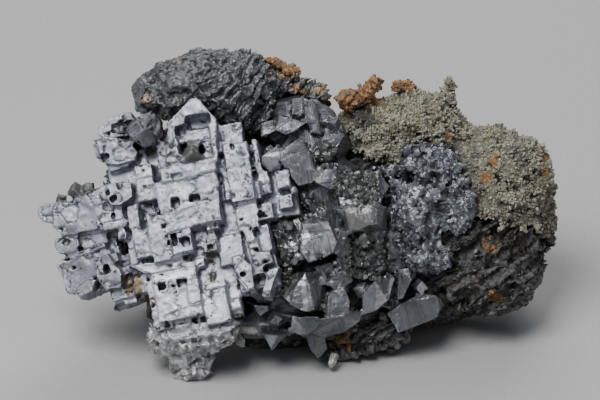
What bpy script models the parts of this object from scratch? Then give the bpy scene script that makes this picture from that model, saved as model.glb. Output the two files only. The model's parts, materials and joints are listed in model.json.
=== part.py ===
"""A hand-sized specimen of skeletal galena on its rock, with the minerals that grew beside it.

The specimen is described on its display face, a sheet 180 mm wide and 120 mm high that leans
back from upright. A place is given in millimetres across the sheet, down the sheet, and out of it.
"""

import math
import random

import bmesh
import bpy
from mathutils import Matrix, Vector

MM = 0.001

# The display face, and the table that the specimen stands on, below the middle of the sheet
FACE_WIDTH = 180.0
FACE_HEIGHT = 120.0
LEAN_BACK_DEG = 27.0
GROUND_Z = -40.8
TABLE_SIZE = 400.0
GAP = 0.3  # clear room between one mineral and the next
CRUMBLY_GAP = 0.5

# The lattices of the skeletal crystals: a point on the top plane, then how the lattice is turned
# anticlockwise on the sheet, leaned up and leaned to the left
MAIN_LATTICE = ((57.0, 69.0, 26.0), 10.0, 13.0, 7.0)
LEFT_LATTICE = ((25.0, 76.0, 17.0), 19.0, 11.0, 15.0)
PILLAR_FOOT = -8.0  # about the level where the pillars end, inside their root
PILLAR_FOOT_STEP = 0.21
BLOCK_FEET = 7  # the pillars' ends take turns at this many levels
SLAB_FEET = 6
ROOT_DEPTH = 7.0
PIT_OVERRUN = 4.0
UNEVEN = 0.03  # how far a corner strays, so that no two crystals share a plane exactly
LEDGE_CREST_AT = 0.45  # how far along its line a ledge is highest
LEDGE_SLOPE = 0.9
LEDGE_END_DROP = 3.4
LEDGE_ROOT = 14.0
FLAT_WITHIN_DEG = 2.0  # faces that lean less than this from each other are one face

# When a solid grows, its corners move out this many times as far as its faces
SHARP_CORNER = 1.7
SQUARE_CORNER = 1.5
BLUNT_CORNER = 1.3

# How a solid's place sets the seed of its corners' strays
SEED_BY_X = 1000
SEED_BY_Z = 777

# A broken lump: how far its corners wander, and how far out they are
CHUNK_WANDER = 0.8
CHUNK_REACH = (0.9, 1.03)

# A small crystal of radius 1: half the side of a cube, or a blunt point's tip, root and widest ring
CUBE_HALF = 0.62
POINT_TIP = 1.15
POINT_ROOT = -0.8
POINT_RING = 0.8
POINT_RING_UP = 0.2
POINT_SIDES = 5

# How small crystals spread over a lump: sideways, upwards, outwards, and how deep they are set
SPREAD_ROUND = 0.8
SPREAD_UP = 0.1
SPREAD_OUT = 0.5
SET_IN = 0.95

# Base colour, roughness and metallic value of each mineral
LOOKS = {
    "bright_galena": ((0.62, 0.63, 0.66), 0.35, 0.9),
    "dark_galena": ((0.30, 0.31, 0.33), 0.4, 0.8),
    "blue_galena": ((0.26, 0.27, 0.31), 0.45, 0.7),
    "blende": ((0.10, 0.105, 0.11), 0.4, 0.3),
    "rock": ((0.07, 0.07, 0.065), 0.6, 0.0),
    "quartz": ((0.42, 0.42, 0.36), 0.6, 0.0),
    "limonite": ((0.45, 0.17, 0.04), 0.85, 0.0),
}


def face_matrix():
    """From the sheet's frame (right, up, out) to the world."""
    lean = math.radians(LEAN_BACK_DEG)
    right = Vector((1, 0, 0))
    up = Vector((0, math.sin(lean), math.cos(lean)))
    out = Vector((0, -math.cos(lean), math.sin(lean)))
    return Matrix((right, up, out)).transposed()


FACE = face_matrix()


def on_face(across, down, out):
    """A place on the sheet, in the sheet's frame."""
    return Vector((across - FACE_WIDTH / 2, FACE_HEIGHT / 2 - down, out))


def world(across, down, out):
    return FACE @ on_face(across, down, out)


class Lattice:
    """A cubic lattice whose top plane passes through a place on the sheet."""

    def __init__(self, origin, turn, lean_up, lean_left):
        self.origin = on_face(*origin)
        turned = Matrix.Rotation(math.radians(turn), 3, "Z")
        leaned = Matrix.Rotation(math.radians(-lean_up), 3, "X")
        swung = Matrix.Rotation(math.radians(-lean_left), 3, "Y")
        self.axes = turned @ leaned @ swung

    def at(self, across, down, level):
        """Lattice coordinates of what shows at this place on the sheet, this far above the plane."""
        aim = on_face(across, down, 0.0)
        u_axis, v_axis, w_axis = self.axes.transposed()
        start = self.origin + w_axis * level
        dx, dy = aim.x - start.x, aim.y - start.y
        det = u_axis.x * v_axis.y - v_axis.x * u_axis.y
        u = (dx * v_axis.y - dy * v_axis.x) / det
        v = (dy * u_axis.x - dx * u_axis.y) / det
        return Vector((u, v, level))

    def to_world(self, point):
        return FACE @ (self.origin + self.axes @ point)


def new_object(name, bm):
    """A closed mesh object from a bmesh in world millimetres."""
    bmesh.ops.recalc_face_normals(bm, faces=bm.faces)
    mesh = bpy.data.meshes.new(name)
    bm.to_mesh(mesh)
    bm.free()
    mesh.transform(Matrix.Scale(MM, 4))
    obj = bpy.data.objects.new(name, mesh)
    bpy.context.scene.collection.objects.link(obj)
    return obj


def hull(points, grow=0.0):
    """The convex solid round points given in world millimetres, grown outwards."""
    middle = sum(points, Vector()) / len(points)
    rng = random.Random(round(middle.x * SEED_BY_X) + round(middle.z * SEED_BY_Z))
    bm = bmesh.new()
    for point in points:
        stray = Vector((rng.uniform(-1, 1), rng.uniform(-1, 1), rng.uniform(-1, 1))) * UNEVEN
        bm.verts.new(point + (point - middle).normalized() * grow * SHARP_CORNER + stray)
    result = bmesh.ops.convex_hull(bm, input=bm.verts)
    bmesh.ops.delete(bm, geom=result["geom_interior"], context="VERTS")
    return new_object("hull", bm)


def pillar(lattice, corners, top, bottom, grow=0.0):
    """A lattice pillar: lattice coordinates of its outline, then its top and bottom levels."""
    middle = sum(corners, Vector()) / len(corners)
    points = []
    for corner in corners:
        push = (corner - middle).normalized() * grow * SQUARE_CORNER
        for level in (top + grow, bottom - grow):
            points.append(lattice.to_world(Vector((corner.x + push.x, corner.y + push.y, level))))
    return hull(points)


def block(lattice, row, bottom, grow=0.0):
    """A square-cornered pillar: its middle on the sheet, its width and height, its top level."""
    across, down, width, height, level = row
    middle = lattice.at(across, down, level)
    corners = []
    for x in (-width / 2, width / 2):
        for y in (-height / 2, height / 2):
            corners.append(middle + Vector((x, y, 0)))
    return pillar(lattice, corners, level, bottom, grow)


def slab(lattice, outline, level, bottom, grow=0.0):
    """A pillar with the outline that it shows on the sheet."""
    corners = [lattice.at(across, down, level) for across, down in outline]
    return pillar(lattice, corners, level, bottom, grow)


def crystal(front, back_out, grow=0.0):
    """A faced crystal: the corners of its front, and the same outline again where it is set in."""
    points = [world(*place) for place in front]
    points += [world(across, down, back_out) for across, down, _ in front]
    return hull(points, grow)


def chunk(place, radii, seed, corners=30, grow=0.0):
    """A broken lump, the hull of scattered corners on a rough ball."""
    rng = random.Random(seed)
    middle = on_face(*place)
    golden = math.pi * (3 - math.sqrt(5))
    points = []
    for index in range(corners):
        height = 1 - 2 * (index + 0.5) / corners
        ring = math.sqrt(1 - height * height)
        angle = golden * index + seed
        wander = CHUNK_WANDER / math.sqrt(corners)
        aim = Vector((ring * math.cos(angle), ring * math.sin(angle), height))
        aim += Vector([rng.uniform(-wander, wander) for _ in range(3)])
        aim.normalize()
        aim *= rng.uniform(*CHUNK_REACH)
        size = Vector((aim.x * radii[0], aim.y * radii[1], aim.z * radii[2]))
        points.append(FACE @ (middle + size + size.normalized() * grow * BLUNT_CORNER))
    return hull(points)


def grain(place, radius, seed, cube=True, grow=0.0):
    """A small crystal set any way round: a cube, or a blunt point."""
    rng = random.Random(seed)
    axis = Vector((rng.gauss(0, 1), rng.gauss(0, 1), rng.gauss(0, 1))).normalized()
    turn = Matrix.Rotation(rng.uniform(0, math.pi), 3, axis)
    if cube:
        shape = [Vector((x, y, z)) * CUBE_HALF for x in (-1, 1) for y in (-1, 1) for z in (-1, 1)]
    else:
        shape = [Vector((0, 0, POINT_TIP)), Vector((0, 0, POINT_ROOT))]
        for index in range(POINT_SIDES):
            angle = math.tau * index / POINT_SIDES
            ring = Vector((math.cos(angle), math.sin(angle))) * POINT_RING
            shape.append(Vector((ring.x, ring.y, POINT_RING_UP)))
    middle = on_face(*place)
    points = []
    for corner in shape:
        aim = turn @ corner * radius
        points.append(FACE @ (middle + aim + aim.normalized() * grow * SQUARE_CORNER))
    return hull(points)


def boolean(obj, operation, others):
    """Joins or cuts obj with the others, which are then gone."""
    helpers = bpy.data.collections.new("helpers")
    for other in others:
        helpers.objects.link(other)
    modifier = obj.modifiers.new(operation.title(), "BOOLEAN")
    modifier.operand_type = "COLLECTION"
    modifier.collection = helpers
    modifier.operation = operation
    modifier.solver = "EXACT"
    graph = bpy.context.evaluated_depsgraph_get()
    made = bpy.data.meshes.new_from_object(obj.evaluated_get(graph))
    obj.modifiers.clear()
    obj.data = made
    for other in others:
        bpy.data.objects.remove(other, do_unlink=True)
    bpy.data.collections.remove(helpers)


def joined(solids):
    """One solid from several that overlap."""
    first, *rest = solids
    boolean(first, "UNION", rest)
    return first


def keep_largest_body(obj):
    """Drops the chips that a cut leaves beside the main body."""
    bm = bmesh.new()
    bm.from_mesh(obj.data)
    left = set(bm.verts)
    bodies = []
    while left:
        stack = [left.pop()]
        body = set(stack)
        while stack:
            for edge in stack.pop().link_edges:
                for vert in edge.verts:
                    if vert in left:
                        left.discard(vert)
                        body.add(vert)
                        stack.append(vert)
        bodies.append(body)
    bodies.sort(key=len)
    for body in bodies[:-1]:
        bmesh.ops.delete(bm, geom=list(body), context="VERTS")
    bm.to_mesh(obj.data)
    bm.free()


def flatten(obj):
    """Makes one face of those that lie in one plane."""
    bm = bmesh.new()
    bm.from_mesh(obj.data)
    limit = math.radians(FLAT_WITHIN_DEG)
    bmesh.ops.dissolve_limit(bm, angle_limit=limit, verts=bm.verts, edges=bm.edges)
    bmesh.ops.triangulate(bm, faces=bm.faces)
    bm.to_mesh(obj.data)
    bm.free()


def finish(obj, name, kind):
    """Names a piece and gives it its material."""
    obj.name = name
    keep_largest_body(obj)
    flatten(obj)
    obj.data.name = name
    material = bpy.data.materials.get(kind)
    if material is None:
        colour, roughness, metallic = LOOKS[kind]
        material = bpy.data.materials.new(kind)
        material.use_nodes = True
        shader = material.node_tree.nodes["Principled BSDF"]
        shader.inputs["Base Color"].default_value = (*colour, 1.0)
        shader.inputs["Roughness"].default_value = roughness
        shader.inputs["Metallic"].default_value = metallic
    obj.data.materials.clear()
    obj.data.materials.append(material)


def table_top():
    """The space below the table, as a cutter."""
    bm = bmesh.new()
    bmesh.ops.create_cube(bm, size=TABLE_SIZE)
    for vert in bm.verts:
        vert.co.z += GROUND_Z - TABLE_SIZE / 2
    return new_object("table_top", bm)


# Square blocks of the main skeletal crystals: across, down, width, height, top level
MAIN_BLOCKS = [
    (57.0, 60.6, 18.6, 15.6, 2.0),
    (52.6, 51.8, 9.0, 5.0, 2.7),
    (60.6, 50.8, 9.0, 3.0, 2.9),
    (48.9, 46.0, 3.2, 8.0, 1.0),
    (71.8, 51.6, 7.6, 18.0, 1.6),
    (67.3, 44.2, 4.6, 3.4, 0.6),
    (68.0, 54.0, 2.4, 13.0, -1.6),
    (76.9, 46.5, 1.9, 10.2, -0.8),
    (79.2, 54.6, 3.2, 6.8, -1.2),
    (76.6, 57.0, 3.4, 5.6, 0.2),
    (84.8, 53.6, 4.6, 5.6, -0.2),
    (85.8, 60.4, 4.4, 4.6, -1.2),
    (80.4, 63.2, 3.6, 5.6, -1.0),
    (88.2, 56.8, 1.8, 1.8, -2.0),
    (74.6, 64.6, 6.6, 8.6, -0.5),
    (69.6, 74.6, 7.6, 9.4, -1.4),
    (75.2, 70.6, 2.6, 3.8, -0.1),
    (77.0, 76.6, 3.0, 11.6, -0.8),
    (79.8, 71.2, 3.2, 7.6, -1.8),
    (80.0, 77.2, 3.0, 4.4, -0.6),
    (72.4, 79.0, 4.4, 5.4, -0.2),
    (74.2, 85.0, 4.4, 4.6, -0.4),
    (70.8, 90.8, 3.6, 3.4, -2.4),
    (53.6, 87.8, 13.6, 15.4, 0.6),
    (58.4, 87.0, 4.0, 8.2, 1.3),
    (49.6, 97.4, 5.6, 2.0, -1.4),
    (65.0, 84.6, 6.6, 2.6, 0.2),
    (65.3, 91.6, 7.8, 10.0, -0.3),
    (64.2, 68.2, 4.4, 1.6, 0.2),
    (63.6, 71.0, 3.6, 1.8, -0.8),
    (63.4, 73.8, 4.4, 3.6, 0.6),
    (60.3, 78.4, 3.0, 3.0, -0.6),
    (54.8, 72.1, 6.4, 7.0, 3.4),
    (48.0, 70.6, 5.4, 15.6, 1.9),
    (43.2, 72.8, 5.4, 9.0, 1.3),
    (51.0, 76.4, 8.0, 2.6, 0.8),
    (40.6, 65.0, 3.8, 6.8, 1.6),
    (37.2, 70.2, 2.8, 2.6, -0.4),
    (34.2, 67.2, 8.4, 2.6, 0.2),
    (32.0, 64.6, 3.6, 3.4, -1.4),
    (36.0, 63.8, 3.0, 3.4, -1.0),
    (35.0, 60.8, 5.6, 2.4, -2.0),
    (36.0, 35.4, 7.8, 2.8, -1.6),
    (31.6, 38.9, 4.4, 3.4, -1.4),
    (34.9, 38.6, 1.3, 3.0, -3.0),
    (34.6, 41.0, 7.0, 1.5, -1.8),
    (29.0, 45.0, 1.4, 4.6, -0.8),
    (44.2, 56.8, 5.4, 7.0, 1.5),
    (43.2, 51.4, 5.4, 4.6, 0.9),
]

# Blocks with their own outline on the sheet, then their top level
MAIN_SLABS = [
    ([(50.2, 48.8), (50.4, 36.6), (57.0, 30.0), (59.6, 29.6), (64.6, 35.2), (65.6, 48.8)], 3.2),
    ([(28.2, 41.4), (31.2, 41.0), (39.2, 42.0), (41.6, 45.6), (40.6, 48.2), (35.4, 49.6), (32.0, 49.4),
      (30.0, 47.4)], 1.2),
    ([(30.8, 47.4), (40.2, 47.4), (38.4, 50.4), (33.6, 51.8)], -0.4),
    ([(32.2, 55.4), (36.0, 54.2), (40.0, 54.8), (40.2, 59.2), (36.6, 61.6), (33.4, 61.2), (31.8, 58.8)],
     1.2),
    ([(70.6, 80.6), (73.4, 77.4), (76.0, 79.4), (76.6, 85.6), (74.4, 87.4), (71.6, 84.0)], 0.6),
    ([(78.4, 88.4), (80.4, 80.6), (84.0, 79.8), (81.0, 88.8)], -1.6),
    ([(46.0, 97.8), (58.0, 96.4), (69.4, 94.4), (71.4, 97.4), (66.0, 100.4), (50.0, 101.6)], -2.6),
    ([(49.0, 101.0), (60.0, 99.6), (71.6, 98.0), (69.8, 101.6), (55.0, 104.0)], -4.4),
    ([(38.2, 79.4), (46.0, 78.4), (60.0, 77.6), (60.0, 80.8), (44.0, 82.0)], -1.2),
]
MAIN_ROOTS = [
    (56.5, 62.0, 40.0, 46.0, -4.0),
    (58.0, 86.0, 27.0, 21.0, -3.6),
    (71.0, 66.0, 20.0, 44.0, -5.0),
    (38.6, 52.0, 12.0, 30.0, -3.4),
    (84.4, 57.6, 9.0, 15.6, -5.2),
]

# Hopper pits: across, down, width, height, level of the block, depth below it
MAIN_PITS = [
    (52.9, 60.6, 2.4, 2.8, 2.0, 3.6),
    (58.6, 59.4, 3.0, 2.6, 2.0, 4.4),
    (61.7, 61.5, 2.2, 1.1, 2.0, 2.2),
    (64.6, 63.8, 1.2, 1.0, 2.0, 1.4),
    (53.0, 52.8, 3.6, 1.5, 2.7, 1.0),
    (58.4, 42.4, 9.6, 12.0, 3.2, 5.4),
    (59.4, 35.8, 7.4, 3.0, 3.2, 6.4),
    (49.0, 85.6, 2.6, 2.4, 0.6, 4.2),
    (54.8, 84.2, 3.0, 2.4, 0.6, 3.2),
    (52.5, 71.4, 1.4, 4.2, 3.4, 3.6),
    (56.0, 72.3, 2.4, 2.8, 3.4, 3.4),
    (63.4, 73.8, 1.9, 1.5, 0.6, 2.4),
    (31.6, 46.8, 2.6, 1.4, 1.2, 2.6),
    (32.4, 44.3, 1.2, 0.9, 1.2, 1.8),
    (35.8, 45.6, 1.0, 1.2, 1.2, 2.2),
    (40.4, 45.9, 1.0, 1.2, 1.2, 2.2),
    (34.3, 59.4, 1.9, 1.8, 1.2, 3.0),
    (32.4, 57.6, 1.2, 1.8, 1.2, 2.6),
    (36.0, 55.4, 1.6, 2.6, 1.2, 2.0),
    (69.6, 44.2, 1.4, 1.6, 1.6, 1.8),
    (69.9, 58.8, 1.6, 1.4, 1.6, 1.6),
    (70.6, 82.8, 2.2, 2.2, 0.6, 3.4),
    (73.0, 82.0, 1.6, 1.3, 0.6, 2.0),
    (60.0, 94.5, 1.1, 1.9, 0.6, 2.6),
    (49.4, 91.9, 1.3, 0.9, 0.6, 1.2),
    (50.6, 97.2, 1.6, 1.2, -1.0, 2.4),
    (64.7, 92.6, 0.9, 1.0, -0.3, 1.4),
    (79.0, 64.4, 1.3, 1.5, -1.0, 2.0),
    (46.6, 54.0, 0.9, 1.0, 1.5, 1.6),
    (45.9, 65.0, 1.0, 1.0, 1.9, 0.8),
]

# The little bar and the two dark crystals inside the gabled frame
FRAME_BAR = ([(53.4, 40.8), (62.4, 38.6), (62.8, 41.2), (53.6, 43.4)], 1.4)
FRAME_POST = ([(60.8, 42.2), (63.2, 41.4), (64.0, 48.6), (61.6, 49.2)], 2.6)
FRAME_CRYSTALS = [
    ([(54.0, 48.8, 26.4), (61.4, 47.4, 26.6), (57.2, 42.0, 25.0), (57.6, 45.8, 29.0)], 20.0),
    ([(56.2, 43.0, 26.4), (60.6, 42.2, 26.0), (59.6, 47.0, 27.2), (59.2, 43.4, 28.4)], 20.0),
]

# The left arm and the cluster below it
LEFT_BLOCKS = [
    (28.4, 71.6, 8.6, 5.0, -1.6),
    (25.2, 75.8, 14.6, 1.7, 0.2),
    (29.0, 77.0, 10.0, 1.6, -0.7),
    (33.8, 77.4, 4.0, 3.0, -0.4),
    (37.4, 88.0, 8.4, 3.0, -0.4),
    (37.6, 91.0, 8.0, 1.3, -1.0),
    (37.8, 92.8, 8.4, 1.2, -1.8),
    (37.4, 94.6, 6.6, 1.2, -2.6),
    (19.6, 83.4, 2.6, 9.0, -1.2),
    (37.6, 81.2, 3.4, 3.0, -2.4),
]
LEFT_SLABS = [
    ([(15.6, 62.2), (24.0, 58.6), (30.8, 56.6), (31.2, 61.6), (29.4, 68.8), (18.4, 71.0), (15.6, 68.4)],
     1.6),
    ([(24.2, 60.6), (25.6, 57.4), (33.0, 54.8), (32.0, 60.2), (28.0, 62.6)], 2.2),
    ([(11.2, 62.6), (14.4, 60.6), (16.6, 61.6), (16.0, 67.0), (12.6, 66.8), (10.9, 64.4)], 0.7),
    ([(16.2, 71.8), (23.4, 70.6), (24.0, 73.4), (22.6, 75.6), (18.2, 76.4), (16.4, 74.6)], 0.8),
    ([(19.2, 78.8), (28.2, 75.8), (29.0, 82.6), (24.0, 88.4), (20.2, 88.0), (18.6, 84.0)], -0.3),
    ([(28.2, 78.4), (32.6, 75.8), (36.6, 81.8), (36.4, 86.2), (32.2, 87.2), (29.0, 83.4)], 1.5),
    ([(23.2, 86.4), (26.6, 84.0), (29.0, 84.0), (28.0, 87.4), (24.8, 89.4), (23.2, 88.6)], 0.7),
    ([(19.4, 90.0), (22.4, 88.8), (23.6, 91.0), (21.4, 92.8), (19.8, 92.0)], -1.4),
    ([(29.0, 91.4), (30.4, 91.2), (32.0, 95.0), (30.8, 95.8), (29.2, 93.0)], -4.0),
]
LEFT_ROOTS = [
    (28.0, 69.0, 21.0, 10.0, -3.6),
    (29.6, 81.0, 17.0, 13.0, -4.0),
    (37.6, 84.0, 9.0, 15.0, -4.0),
]
LEFT_PITS = [
    (32.0, 80.6, 1.8, 2.6, 1.5, 4.0),
    (16.8, 65.4, 1.3, 0.8, 1.6, 1.4),
    (22.4, 66.3, 1.4, 0.7, 1.6, 1.2),
    (19.6, 67.8, 1.6, 0.8, 1.6, 1.2),
    (27.3, 66.6, 0.7, 1.1, 1.6, 1.8),
    (19.8, 72.8, 2.2, 1.4, 0.8, 1.4),
    (24.4, 78.8, 0.8, 0.9, -0.3, 1.4),
    (28.6, 81.2, 0.8, 1.2, 1.5, 1.6),
    (23.6, 87.0, 0.7, 1.4, 0.7, 1.4),
    (36.0, 91.8, 3.6, 1.2, -1.0, 3.0),
]

# Small grey-green crystals on the arm's top edge, the smooth crystal at the upper left and the foot
EDGE_CRYSTALS = [
    ((22.8, 57.2, 14.2), 3.0, 91),
    ((26.8, 56.6, 14.8), 2.6, 92),
    ((18.4, 60.0, 13.6), 2.4, 93),
    ((45.6, 46.0, 22.4), 2.2, 94),
    ((63.6, 77.0, 22.0), 2.4, 95),
    ((64.6, 82.4, 25.4), 2.2, 96),
]
SMOOTH_CRYSTAL = [
    (37.8, 39.0, 21.0),
    (41.0, 35.4, 20.0),
    (45.6, 33.0, 17.4),
    (48.6, 36.4, 19.4),
    (49.4, 40.6, 20.0),
    (46.6, 43.6, 22.0),
    (43.2, 44.6, 23.2),
    (39.6, 42.0, 23.2),
    (43.0, 39.2, 24.6),
]
FOOT_CHUNKS = [
    ((57.0, 101.0, 20.0), (14.0, 6.4, 9.0), 97, 26),
    ((57.6, 107.0, 15.0), (8.2, 8.0, 8.0), 98, 22),
    ((57.6, 112.0, 9.6), (5.4, 7.4, 5.8), 99, 18),
    ((49.4, 101.0, 17.0), (6.6, 6.0, 9.0), 100, 16),
]


def lattice_solids(lattice, blocks, slabs, roots, grow):
    solids = []
    for index, row in enumerate(blocks):
        solids.append(block(lattice, row, PILLAR_FOOT + index % BLOCK_FEET * PILLAR_FOOT_STEP, grow))
    for index, (outline, level) in enumerate(slabs):
        foot = PILLAR_FOOT - index % SLAB_FEET * PILLAR_FOOT_STEP
        solids.append(slab(lattice, outline, level, foot, grow))
    solids += [block(lattice, row, row[-1] - ROOT_DEPTH, grow) for row in roots]
    return solids


def skeletal_solids(grow=0.0):
    """Everything that the skeletal galena is joined from, and the same after its pits are cut."""
    main_lattice = Lattice(*MAIN_LATTICE)
    left_lattice = Lattice(*LEFT_LATTICE)
    solids = lattice_solids(main_lattice, MAIN_BLOCKS, MAIN_SLABS, MAIN_ROOTS, grow)
    solids += lattice_solids(left_lattice, LEFT_BLOCKS, LEFT_SLABS, LEFT_ROOTS, grow)
    solids.append(crystal(SMOOTH_CRYSTAL, 8.0, grow))
    for place, radius, seed in EDGE_CRYSTALS:
        solids.append(grain(place, radius, seed, grow=grow))
    for place, radii, seed, corners in FOOT_CHUNKS:
        solids.append(chunk(place, radii, seed, corners, grow))
    return solids


def skeletal_pits():
    solids = []
    lattices = ((Lattice(*MAIN_LATTICE), MAIN_PITS), (Lattice(*LEFT_LATTICE), LEFT_PITS))
    for lattice, pits in lattices:
        for across, down, width, height, level, depth in pits:
            middle = lattice.at(across, down, level)
            corners = []
            for x in (-width / 2, width / 2):
                for y in (-height / 2, height / 2):
                    corners.append(middle + Vector((x, y, 0)))
            solids.append(pillar(lattice, corners, level + PIT_OVERRUN, level - depth))
    return solids


def frame_fillings():
    lattice = Lattice(*MAIN_LATTICE)
    solids = [slab(lattice, outline, level, PILLAR_FOOT) for outline, level in (FRAME_BAR, FRAME_POST)]
    solids += [crystal(front, back_out) for front, back_out in FRAME_CRYSTALS]
    return solids


# Complete galena crystals: the corners of each front, then how far out its back is
CRYSTALS = [
    # the flat-faced crystal in the middle
    ([(90.0, 72.0, 30.2), (93.6, 71.0, 30.4), (100.0, 69.6, 30.0), (101.1, 72.0, 30.0),
      (100.0, 75.9, 30.4), (92.4, 78.6, 31.0), (90.2, 75.6, 30.6), (90.6, 66.6, 27.0),
      (93.6, 65.0, 26.0), (99.0, 66.4, 26.0)], 12.0),
    # the blue-grained crystal below it, with its bright bevel and dark flank
    ([(85.5, 89.4, 27.0), (89.1, 84.9, 28.6), (92.7, 84.9, 28.2), (94.2, 92.7, 28.4),
      (91.5, 93.2, 28.8), (87.0, 91.2, 28.2), (91.6, 81.2, 27.0), (89.0, 81.6, 26.0),
      (84.9, 88.4, 25.0), (98.4, 81.8, 22.0), (99.0, 86.0, 20.0), (96.0, 93.2, 22.0)], 8.0),
    ([(99.0, 87.0, 24.0), (103.5, 86.0, 24.6), (105.0, 90.0, 24.2), (104.7, 93.6, 23.6),
      (102.6, 95.4, 24.0), (98.4, 95.4, 24.2), (96.6, 93.0, 23.0)], 8.0),
    ([(93.0, 100.0, 22.0), (96.0, 95.4, 24.4), (103.0, 94.8, 24.2), (105.6, 93.0, 23.0),
      (108.6, 93.6, 21.0), (108.0, 96.0, 20.0), (103.5, 99.6, 19.0), (97.5, 101.0, 20.0)], 6.0),
    ([(87.6, 94.5, 24.0), (95.4, 94.5, 24.8), (96.6, 96.6, 24.2), (93.0, 99.9, 23.0),
      (90.0, 100.5, 22.2), (87.0, 99.0, 22.0)], 6.0),
    # the points that hang over the front edge
    ([(78.6, 99.9, 21.0), (83.4, 100.4, 24.0), (87.2, 99.6, 20.0), (81.6, 105.0, 20.0),
      (80.0, 98.0, 18.0)], 8.0),
    ([(91.5, 100.4, 20.0), (97.5, 101.0, 20.0), (98.4, 104.4, 18.0), (95.4, 107.7, 17.0),
      (93.4, 105.0, 19.0)], 8.0),
    ([(75.6, 91.0, 23.0), (80.8, 91.4, 24.0), (81.0, 93.0, 23.0), (78.0, 94.9, 23.0)], 8.0),
    # the striated crystal with the large pale face
    ([(105.0, 61.5, 28.0), (111.6, 61.0, 28.0), (113.1, 63.0, 28.0), (113.4, 67.2, 28.0),
      (111.0, 67.6, 28.4), (107.0, 65.4, 28.6), (103.8, 63.4, 28.4), (100.5, 62.5, 25.6),
      (105.0, 70.0, 25.2), (116.0, 62.0, 21.0), (116.4, 70.0, 19.0)], 8.0),
    ([(101.0, 57.0, 24.0), (104.0, 53.0, 22.0), (113.6, 51.0, 20.0), (117.0, 56.0, 18.6),
      (114.0, 61.0, 26.0), (102.0, 61.6, 25.2)], 6.0),
    ([(104.0, 68.0, 23.0), (114.0, 66.6, 22.6), (115.8, 69.0, 19.0), (115.4, 80.0, 18.0),
      (112.0, 84.0, 19.0), (106.0, 83.0, 20.0)], 6.0),
    # the dark column and block between the two flat-faced crystals
    ([(101.6, 68.6, 26.2), (104.6, 69.6, 25.4), (105.8, 84.0, 22.6), (103.0, 86.2, 23.4),
      (100.6, 79.0, 25.2)], 8.0),
    ([(94.2, 79.6, 25.2), (100.8, 78.0, 25.0), (102.8, 80.2, 24.0), (101.8, 86.4, 23.2),
      (96.6, 85.0, 24.6)], 10.0),
    # the tongues below the granular galena
    ([(108.9, 94.4, 20.0), (108.6, 88.0, 22.0), (112.5, 84.0, 24.0), (117.0, 81.8, 24.0),
      (118.5, 83.4, 23.0), (116.4, 90.0, 22.0), (112.5, 93.2, 21.0)], 8.0),
    ([(119.2, 89.8, 20.0), (121.0, 89.5, 20.0), (123.5, 84.0, 22.0), (122.8, 80.4, 22.0),
      (119.5, 80.4, 22.0)], 8.0),
    ([(116.0, 94.0, 15.0), (120.0, 91.0, 16.0), (126.0, 88.0, 15.0), (131.4, 88.8, 14.0),
      (132.6, 91.5, 13.0), (131.4, 95.4, 13.0), (124.5, 97.5, 14.0), (119.4, 99.9, 15.0)], 4.0),
    # the lavender blocks at the upper middle
    ([(84.6, 45.0, 27.0), (90.0, 41.4, 25.2), (92.4, 45.0, 25.2), (95.4, 51.6, 25.0),
      (93.6, 55.2, 25.4), (89.4, 55.8, 26.2), (86.4, 51.6, 27.2), (84.0, 48.0, 28.0)], 6.0),
    ([(78.5, 47.1, 26.0), (83.4, 43.8, 26.6), (85.2, 48.0, 26.6), (84.0, 51.0, 24.6),
      (81.0, 51.9, 24.0), (78.9, 50.0, 24.0)], 6.0),
    ([(87.3, 29.6, 15.0), (91.0, 29.0, 15.0), (91.2, 34.5, 18.0), (87.6, 34.5, 18.4)], 4.0),
    ([(91.0, 30.6, 17.0), (93.6, 29.4, 16.0), (95.6, 33.0, 17.0), (95.6, 36.0, 19.0),
      (96.6, 40.5, 20.0), (93.6, 40.0, 21.0), (91.5, 36.0, 20.0)], 4.0),
    ([(84.0, 34.6, 18.0), (88.0, 35.6, 19.0), (92.0, 37.0, 20.0), (89.0, 39.4, 21.0),
      (86.0, 40.5, 21.4), (82.5, 39.0, 20.4)], 4.0),
    ([(78.4, 37.0, 18.0), (82.0, 36.0, 18.0), (82.6, 39.6, 20.0), (78.2, 41.4, 20.0)], 4.0),
    ([(94.5, 45.0, 21.0), (102.0, 39.6, 18.6), (103.5, 40.5, 18.4), (100.5, 45.6, 20.6),
      (98.4, 48.6, 22.0), (94.8, 47.4, 22.4)], 4.0),
    ([(93.6, 50.4, 24.2), (96.6, 49.5, 24.0), (101.0, 49.0, 23.0), (102.0, 52.5, 23.4),
      (102.6, 56.0, 23.0), (99.0, 57.0, 24.0), (94.5, 54.8, 25.2)], 6.0),
    # the rough broken part beside the skeletal crystals
    ([(83.0, 64.4, 24.0), (90.0, 63.0, 23.6), (91.0, 78.0, 25.0), (84.6, 80.0, 24.4)], 8.0),
    ([(82.6, 80.0, 23.2), (88.0, 79.0, 24.0), (87.0, 88.0, 23.0), (80.0, 90.0, 22.2)], 8.0),
    ([(80.4, 68.0, 22.2), (84.2, 67.2, 23.0), (84.6, 79.4, 23.8), (81.2, 80.8, 22.6)], 8.0),
]
CRYSTAL_ROOTS = [
    ((94.0, 44.0, 9.0), (12.0, 16.0, 9.6), 31, 18),
    ((85.4, 36.0, 3.0), (9.6, 9.6, 13.0), 37, 14),
    ((97.0, 62.0, 9.0), (17.0, 20.0, 13.0), 34, 18),
    ((94.0, 86.0, 9.0), (19.0, 17.0, 11.6), 32, 18),
    ((112.0, 76.0, 6.0), (16.0, 22.0, 12.0), 33, 18),
    ((80.0, 97.0, 12.0), (10.0, 6.0, 9.0), 35, 16),
    ((122.0, 92.0, 5.0), (13.0, 6.0, 8.0), 36, 16),
]
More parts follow.
